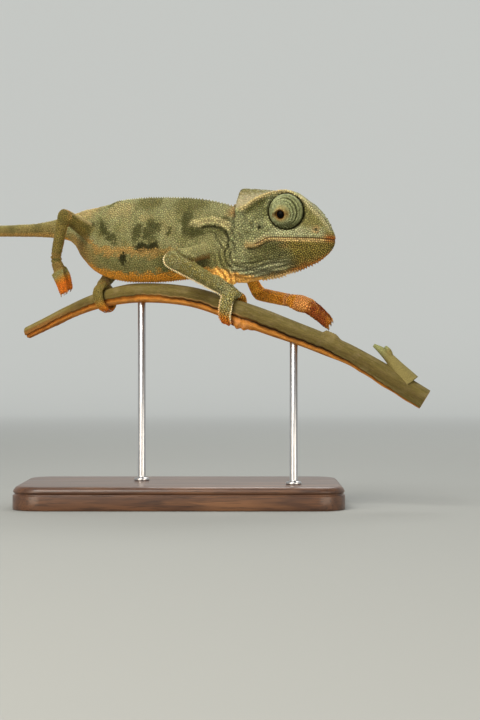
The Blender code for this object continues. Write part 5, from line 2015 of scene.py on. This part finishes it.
# %% [markdown]
# ## The twig
#
# A grey-olive bark covers the top and both flanks. Underneath it has been peeled away in a strip of
# orange wood, with the bark's edge curling over a groove on the side that shows, painted dark as shade.
# The twig is a circle carried along its line. Its radius changes with the distance along it and with the
# angle from the top: lengthwise fibres, the groove, the sunken strip, a torn lump of bast by the near hand
# and a leaf scar on top.

# %% Twig surface
TWIG_ROWS, TWIG_SIDES = 620, 108
SCAR = 44  # where along X the leaf scar is


def fibres(distance, angle):
    """Lengthwise ridges: cosines of whole numbers of turns, whose phases drift slowly along the twig."""
    total = 0.0
    for k, size in ((7, 0.35), (13, 0.3), (22, 0.22), (35, 0.14)):
        slow, quick = distance / (5 + 0.4 * k) + k, distance / (1.9 + 0.1 * k) + 2 * k
        total = total + size * np.cos(k * angle + (1.7 * np.sin(slow) + 1.1 * np.sin(quick)))
    return total


# the peeled strip's edges: X and degrees from the top
PEEL_NEAR = ((-60, 112), (-20, 104), (0, 97), (20, 100), (30, 104), (45, 112), (58, 132), (80, 150))
PEEL_FAR = ((-60, 215), (-20, 232), (0, 240), (20, 240), (45, 230), (58, 210), (80, 190))


def peeled(distance, x, angle):
    """Degrees past the bark's near edge, and how far a place is into the peeled strip, 0 to 1."""
    degrees = np.degrees(angle) % 360
    ragged = 2.2 * np.sin(distance / 3.1) + 1.8 * np.sin(distance / 1.23 + 1)
    ragged += 1.3 * np.sin(distance / 0.47)
    near, far = profile(PEEL_NEAR, x) + ragged, profile(PEEL_FAR, x) + 1.5 * ragged
    return degrees - near, ease(0, 7, degrees - near) * fade(-12, 0, degrees - far)


def twig_relief(distance, x, angle):
    """How far the surface stands off the plain circle."""
    past, strip = peeled(distance, x, angle)
    degrees = np.degrees(angle) % 360
    relief = 0.07 * fibres(distance, angle) * (1 - 0.3 * strip)
    relief = relief + 0.14 * bell(past, -4, 4.5) - 0.25 * strip
    relief = relief - (0.30 + 0.22 * within(19, 26, 48, 58, x)) * bell(past, 13, 8) * ease(0, 3, past)
    relief = relief + 0.22 * strip * bell(past, 34, 9) * (0.6 + 0.4 * np.sin(distance / 1.3))
    lump = within(16.7, 18, 19, 24.5, x) * bell(degrees, 168, 34)
    relief = relief + (1.45 + 0.3 * np.sin(3.1 * x)) * lump
    scar = within(41.2, 42.3, 44.6, 47.2, x) * bell(degrees - 360 * (degrees > 180), 0, 42)
    return relief + 0.95 * scar + 0.06 * scar * np.sin(9 * x)


def blend(colour, other, weight):
    """Part of the way from one grid of colours to another colour."""
    return colour + (other - colour) * weight[..., None]


def twig_colour(distance, x, angle):
    """Olive bark with grey and brown streaks, painted shade in the groove, orange wood, a pale torn edge
    between, and painted warm light under the left part.
    """
    past, strip = peeled(distance, x, angle)
    degrees = np.degrees(angle) % 360
    grain = fibres(distance, angle)
    across = np.stack([x, 3 * np.cos(angle), 3 * np.sin(angle)], -1).reshape(-1, 3)
    cloud = waves(across, 4, 51).reshape(x.shape)
    speck = waves(across, 0.7, 52).reshape(x.shape)
    colour = pigment(112, 100, 56)
    colour = blend(colour, pigment(92, 82, 40), 0.7 * ease(-0.5, 0.6, grain))
    colour = blend(colour, pigment(122, 110, 72), 0.5 * ease(0.1, 0.7, cloud))
    colour = blend(colour, pigment(126, 106, 84), 0.4 * ease(0.45, 0.75, speck))
    colour = blend(colour, pigment(82, 68, 32), 0.6 * within(55, 95, 100, 130, degrees))
    wood = pigment(190, 120, 44) + 0.2 * grain[..., None] * pigment(190, 120, 44)
    wood = blend(wood, pigment(150, 92, 34), 0.6 * ease(0, 0.6, cloud))
    wood = blend(wood, pigment(206, 150, 78), 0.5 * bell(past, 36, 10))
    colour = blend(colour, wood, strip)
    # painted shade in the groove under the bark's curled edge
    groove = bell(past, 12, 8 + 3 * within(19, 26, 46, 56, x)) * ease(-1, 3, past)
    groove = groove * (0.35 + 0.6 * ease(-8, 4, x))
    colour = blend(colour, pigment(54, 34, 10), 1.15 * groove)
    colour = blend(colour, pigment(184, 146, 90), 0.8 * bell(past, -2, 2.6) * within(-14, -4, 16, 22, x))
    lump = within(16.4, 17.4, 19, 25, x) * bell(degrees, 150, 30)
    torn = waves(across, 0.9, 53).reshape(x.shape)
    colour = blend(colour, pigment(204, 142, 92), 0.7 * lump * ease(-0.4, 0.5, torn))
    scar = bell(x, SCAR, 2.6) * bell(degrees - 360 * (degrees > 180), 0, 48)
    colour = blend(colour, pigment(142, 124, 74), 0.6 * scar)
    colour = colour * (1 + (0.22 - 0.4 * ease(-40, 10, x)) * (1 - strip))[..., None]
    # painted warm light from below on the underside of the twig's left part
    return blend(colour, pigment(150, 84, 32), 0.5 * fade(-50, -24, x) * within(60, 100, 230, 280, degrees))


print("leaf scar at", SCAR, "mm")

# %% [markdown]
# The twig is one grid: rings along its line, with each point pushed out or in by the relief. Its ends are
# sawn, so the rings go on over the cut, smaller and smaller, until a fan closes the middle.

# %% The twig's grid
def cut_off(grid, sign):
    """The rings of a sawn end: a rim that turns in, then smaller rings on the flat of the cut."""
    rim = grid[0] if sign < 0 else grid[-1]
    middle = rim.mean(0)
    heading = unit(middle - (grid[3] if sign < 0 else grid[-4]).mean(0))
    rings = [middle + (rim - middle) * size + heading * past
             for size, past in ((0.985, 0.08), (0.94, 0.13), (0.75, 0.14), (0.5, 0.12), (0.25, 0.14))]
    return np.array(rings[::-1] if sign < 0 else rings)


twig_at = np.linspace(0.15, run_of(PERCH)[-1] - 0.15, TWIG_ROWS)
twig_row = along(PERCH, twig_at)
heading = unit(np.gradient(twig_row[:, :3], axis=0))
toward = -unit(np.cross(UP, heading))
above = np.cross(toward, heading)
above *= np.sign(above[:, 2:])
angle = np.tile(turns(TWIG_SIDES), (TWIG_ROWS, 1))
distance = np.repeat(twig_at[:, None], TWIG_SIDES, 1)
twig_x = np.repeat(twig_row[:, 0, None], TWIG_SIDES, 1)
twig_radius = twig_row[:, 3, None] + twig_relief(distance, twig_x, angle)
bark_grid = twig_row[:, None, :3] + twig_radius[..., None] * spokes(angle, above, toward)
bark_colour = twig_colour(distance, twig_x, angle)
bark_fibre = np.stack([distance * 0.12, np.cos(angle) * twig_radius, np.sin(angle) * twig_radius], -1)

ends = (cut_off(bark_grid, -1), cut_off(bark_grid, 1))
grid = np.concatenate([ends[0], bark_grid, ends[1]])
pale_cut = np.ones((len(ends[0]), TWIG_SIDES, 3)) * pigment(196, 158, 108)
pale_cut *= np.array((0.8, 1.02, 0.9, 1, 0.62))[:, None, None]
colour = np.concatenate([pale_cut, bark_colour, pale_cut[::-1]])
fibre = np.concatenate([np.zeros_like(ends[0]), bark_fibre, np.zeros_like(ends[1])])

# %% [markdown]
# The side shoot is a bent cone. Its foot spreads into the twig, and its tip is split in two where a leaf
# broke off.

# %% Side shoot
SHOOT_ROWS, SHOOT_SIDES = 48, 40


def shoot_grid(path, radii, rows, columns):
    """Circles along a smooth path through a few points, with a radius that runs through a few values."""
    run = run_of(path)
    at = np.linspace(0, run[-1], rows)
    line, radius = smooth_between(run, path, at), smooth_between(run, radii, at)
    ahead = unit(np.gradient(line, axis=0))
    side = unit(np.cross(ahead, (0, 1, 0)))
    turn = turns(columns)
    wobble = 1 + 0.05 * fibres(at[:, None], turn[None])
    return line[:, None] + (radius * wobble)[..., None] * spokes(turn, side, np.cross(side, ahead))


STEM = ((68, -18.4, 37), (64.9, -18, 41), (62.4, -17.4, 44.4), (60.2, -17, 46.6),
        (57.6, -17, 48.4))
SPLIT_TIP = ((62.4, -17.6, 44.6), (61.9, -17.8, 46.6), (61, -18.1, 48))
grids, colours, vectors = [grid], [tube_points(colour)], [tube_points(fibre)]
for path, radii in ((STEM, (3.3, 2.35, 1.5, 1.15, 0.5)), (SPLIT_TIP, (1.1, 0.9, 0.4))):
    grids.append(shoot_grid(path, radii, SHOOT_ROWS, SHOOT_SIDES))
    high = ease(0.55, 1, np.repeat(np.linspace(0, 1, SHOOT_ROWS), SHOOT_SIDES))
    tone = blend_in(pigment(120, 110, 66), pigment(128, 132, 88), high)
    colours.append(tube_points(tone.reshape(SHOOT_ROWS, SHOOT_SIDES, 3)))
    vectors.append(tube_points(grids[-1]) * (0.5, 1, 0.5))
twig = make_piece("perch_bark", *join_tubes(grids))
paint(twig, np.clip(np.concatenate(colours), 0, 1))
measure(twig, "Fibre", np.concatenate(vectors))

bark = Finish("bark", Specular_IOR_Level=0.12)
strands = bark.noise(bark.attribute("Fibre", "Vector"), 6, 6, 0.65)
bark_stops = [(0.3, (0.62, 0.6, 0.56, 1)), (0.55, (1, 1, 1, 1)), (0.75, (1.3, 1.28, 1.22, 1))]
bark_finish = bark.surface(Base_Color=bark.marked(bark_stops, strands), Roughness=0.62 + 0.3 * strands,
                           Normal=bark.bump(strands, 0.00025, 0.8))
finish_piece(twig, bark_finish)
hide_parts("perch")
print("twig:", triangles_of(twig), "triangles")

# %% [markdown]
# ## The stand
#
# The base is a turned profile led round a rectangle with rounded corners: a small foot, a plain side, a
# groove and a rounded shoulder. Each rod is a steel pin with a small collar where it enters the wood.

# %% Stand
BASE_LENGTH, BASE_WIDTH, BASE_CORNER = 98, 58, 9
BASE_PROFILE = ((1.4, 0), (0.35, 0), (0.08, 0.1), (0, 0.4), (0, 4.2), (0.05, 4.3), (0.45, 4.4),
                (0.55, 4.6), (0.55, 4.9), (0.3, 5.05), (0.15, 5.3), (0.22, 5.7), (0.45, 6.15), (0.85, 6.6),
                (1.4, 6.88), (2.1, 7), (6, 7), (14, 7), (24, 7))
ROD_PLACES = {"stand_rod_rear": 0.335, "stand_rod_front": 0.70}
ROD_RADIUS = 1.2


def base_ring(inset, height, sides_each=14):
    """A rectangle with rounded corners: its corner arcs keep their middles until the inset takes them up."""
    radius = max(BASE_CORNER - inset, 0.4)
    reach = np.array((BASE_LENGTH, BASE_WIDTH)) / 2 - inset - radius
    arc = np.radians(np.linspace(0, 90, sides_each))
    ring = []
    for number, corner in enumerate(((1, 1), (-1, 1), (-1, -1), (1, -1))):
        bend = arc + number * math.pi / 2
        ring.append(corner * reach + radius * np.stack([np.cos(bend), np.sin(bend)], 1))
    ring = np.vstack(ring)
    return np.column_stack([ring, np.full(len(ring), height)])


def turned(x, y, outline, sides=48):
    """A profile of radius and height led round an upright axis."""
    turn = turns(sides)
    radius, height = np.array(outline).T
    return np.stack([x + radius[:, None] * np.cos(turn), y + radius[:, None] * np.sin(turn),
                     np.repeat(height[:, None], sides, 1)], -1)


walnut = Finish("walnut", Specular_IOR_Level=0.4, Coat_Weight=0.25, Coat_Roughness=0.2)
planks = walnut.position((0.11, 1, 1), (0.03, 0.05, 0.06))
rings = walnut.noise(planks, 130, 4, 0.6)
pores = walnut.noise(walnut.position((0.05, 1, 1)), 2600, 2)
early, late, vein, pale, pore = [opaque(pigment(*colour) / BRIGHTEN) for colour in (
    (52, 33, 22), (92, 60, 38), (70, 44, 28), (112, 76, 48), (30, 18, 12))]
wood_tone = walnut.ramp([(0.30, early), (0.48, late), (0.56, vein), (0.70, pale)], rings)
wood_tone = walnut.mix(walnut.between(pores, 0.52, 0.68) * 0.5, wood_tone, pore)
walnut_finish = walnut.surface(Base_Color=wood_tone, Roughness=0.3 + 0.2 * rings,
                               Normal=walnut.bump(pores, 0.00005, 0.4))

steel = Finish("brushed_steel", Metallic=1)
brushed = steel.noise(steel.position((1, 1, 0.04)), 9000, 2)
steel_finish = steel.surface(Base_Color=steel.mix(brushed, (0.42, 0.42, 0.43, 1), (0.62, 0.62, 0.63, 1)),
                             Roughness=0.22 + 0.16 * brushed, Normal=steel.bump(brushed, 0.00002, 0.5))

grid = np.stack([base_ring(*step) for step in BASE_PROFILE])
base = tube_piece("display_base", grid)
finish_piece(base, walnut_finish)
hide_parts("stand_base")
for name, fraction in ROD_PLACES.items():
    x, y, top = perch_frame(fraction)[0]
    outline = ((0.6, 3.2), (ROD_RADIUS, 3.3), (ROD_RADIUS, 6.9), (2.2, 6.95), (2.3, 7.05), (2.3, 7.7),
               (2.15, 7.9), (1.45, 8), (1.25, 8.15), (ROD_RADIUS, 8.4), (ROD_RADIUS, top - 1.4),
               (0.9, top - 1.2))
    rod = tube_piece(name.replace("stand_", "display_"), turned(x, y, outline))
    finish_piece(rod, steel_finish)
    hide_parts(name)
print("base:", triangles_of(base), "triangles")

# %% [markdown]
# ## Studio
#
# A grey floor that turns up into a round wall on every side. The paper glows by itself, more the further
# it is from the animal, so the wall looks lit from behind as in a light tent. A wide soft light hangs
# above and in front, with dimmer ones round it.

# %% Stage, lights and camera
BOWL_SIDES = 120
bend = np.radians(np.linspace(0, 90, 40))
outline = np.vstack([[(0.05, 0), (0.4, 0), (0.7, 0)],
                     np.stack([1 + 0.5 * np.sin(bend), 0.5 - 0.5 * np.cos(bend)], 1), [(1.5, 0.9)]])
bowl = turned(0, 0, outline, BOWL_SIDES).reshape(-1, 3)
wall = tube_faces(len(outline), BOWL_SIDES)[0][:, (0, 3, 2, 1)]
backdrop = make_piece("backdrop", bowl, wall, np.arange(BOWL_SIDES)[None], scale=1)
paper = Finish("paper", Roughness=0.9, Specular_IOR_Level=0.1, Base_Color=(0.30, 0.31, 0.30, 1),
               Emission_Strength=1)
far_out = paper.node("ShaderNodeVectorMath", {"operation": "LENGTH"}, {"Vector": paper.position()}, "Value")
glow = paper.mix(paper.between(far_out, 0.25, 1.3), (0, 0, 0, 1), (0.38, 0.39, 0.38, 1))
backdrop.data.materials.append(paper.surface(Emission_Color=glow))
backdrop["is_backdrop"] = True


def softbox(name, place, target, size, power, colour):
    """A square area light that points at a place."""
    lamp = bpy.data.lights.new(name, "AREA")
    lamp.size, lamp.energy, lamp.color = size, power, colour
    box = bpy.data.objects.new(name, lamp)
    box.location = place
    box.rotation_euler = (Vector(target) - Vector(place)).to_track_quat("-Z", "Y").to_euler()
    box.visible_camera = False
    bpy.context.scene.collection.objects.link(box)


softbox("key", (-0.22, -0.45, 0.62), (0, 0, 0.07), 0.38, 4.7, (1, 0.97, 0.90))
softbox("fill", (0.50, -0.55, 0.10), (0, 0, 0.07), 0.5, 2.6, (1, 0.88, 0.74))
softbox("low", (-0.35, -0.50, 0.18), (0, 0, 0.08), 0.34, 1.8, (1, 0.84, 0.66))
softbox("back", (0.12, 0.40, 0.62), (0, 0, 0.08), 0.4, 3, (1, 0.98, 0.95))
world = bpy.data.worlds.new("even_sky")
world.use_nodes = True
world.node_tree.nodes["Background"].inputs["Color"].default_value = (0.92, 0.94, 0.95, 1)
world.node_tree.nodes["Background"].inputs["Strength"].default_value = 0.36
bpy.context.scene.world = world
bpy.context.scene.view_settings.view_transform = "Standard"

lens = bpy.data.cameras.new("camera")
lens.lens, lens.sensor_width = 101.1, 36
camera = bpy.data.objects.new("camera", lens)
camera.location, camera.rotation_euler = (0.018, -0.616, 0.044), (math.pi / 2, 0, 0)
bpy.context.scene.collection.objects.link(camera)
bpy.context.scene.camera = camera

# %% [markdown]
# ## The size, and the end
#
# The box of the finished model is measured and kept beside the box of the solids it stands on.
# The finished model has to fill the same box as the solids it stands on.

# %% Size and finish
visual_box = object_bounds()
sizes = {"cad": [list(map(float, corner)) for corner in cad_box],
         "visual": [list(map(float, corner)) for corner in visual_box]}
print("box:", [[round(float(value) * 1000, 2) for value in corner] for corner in visual_box])
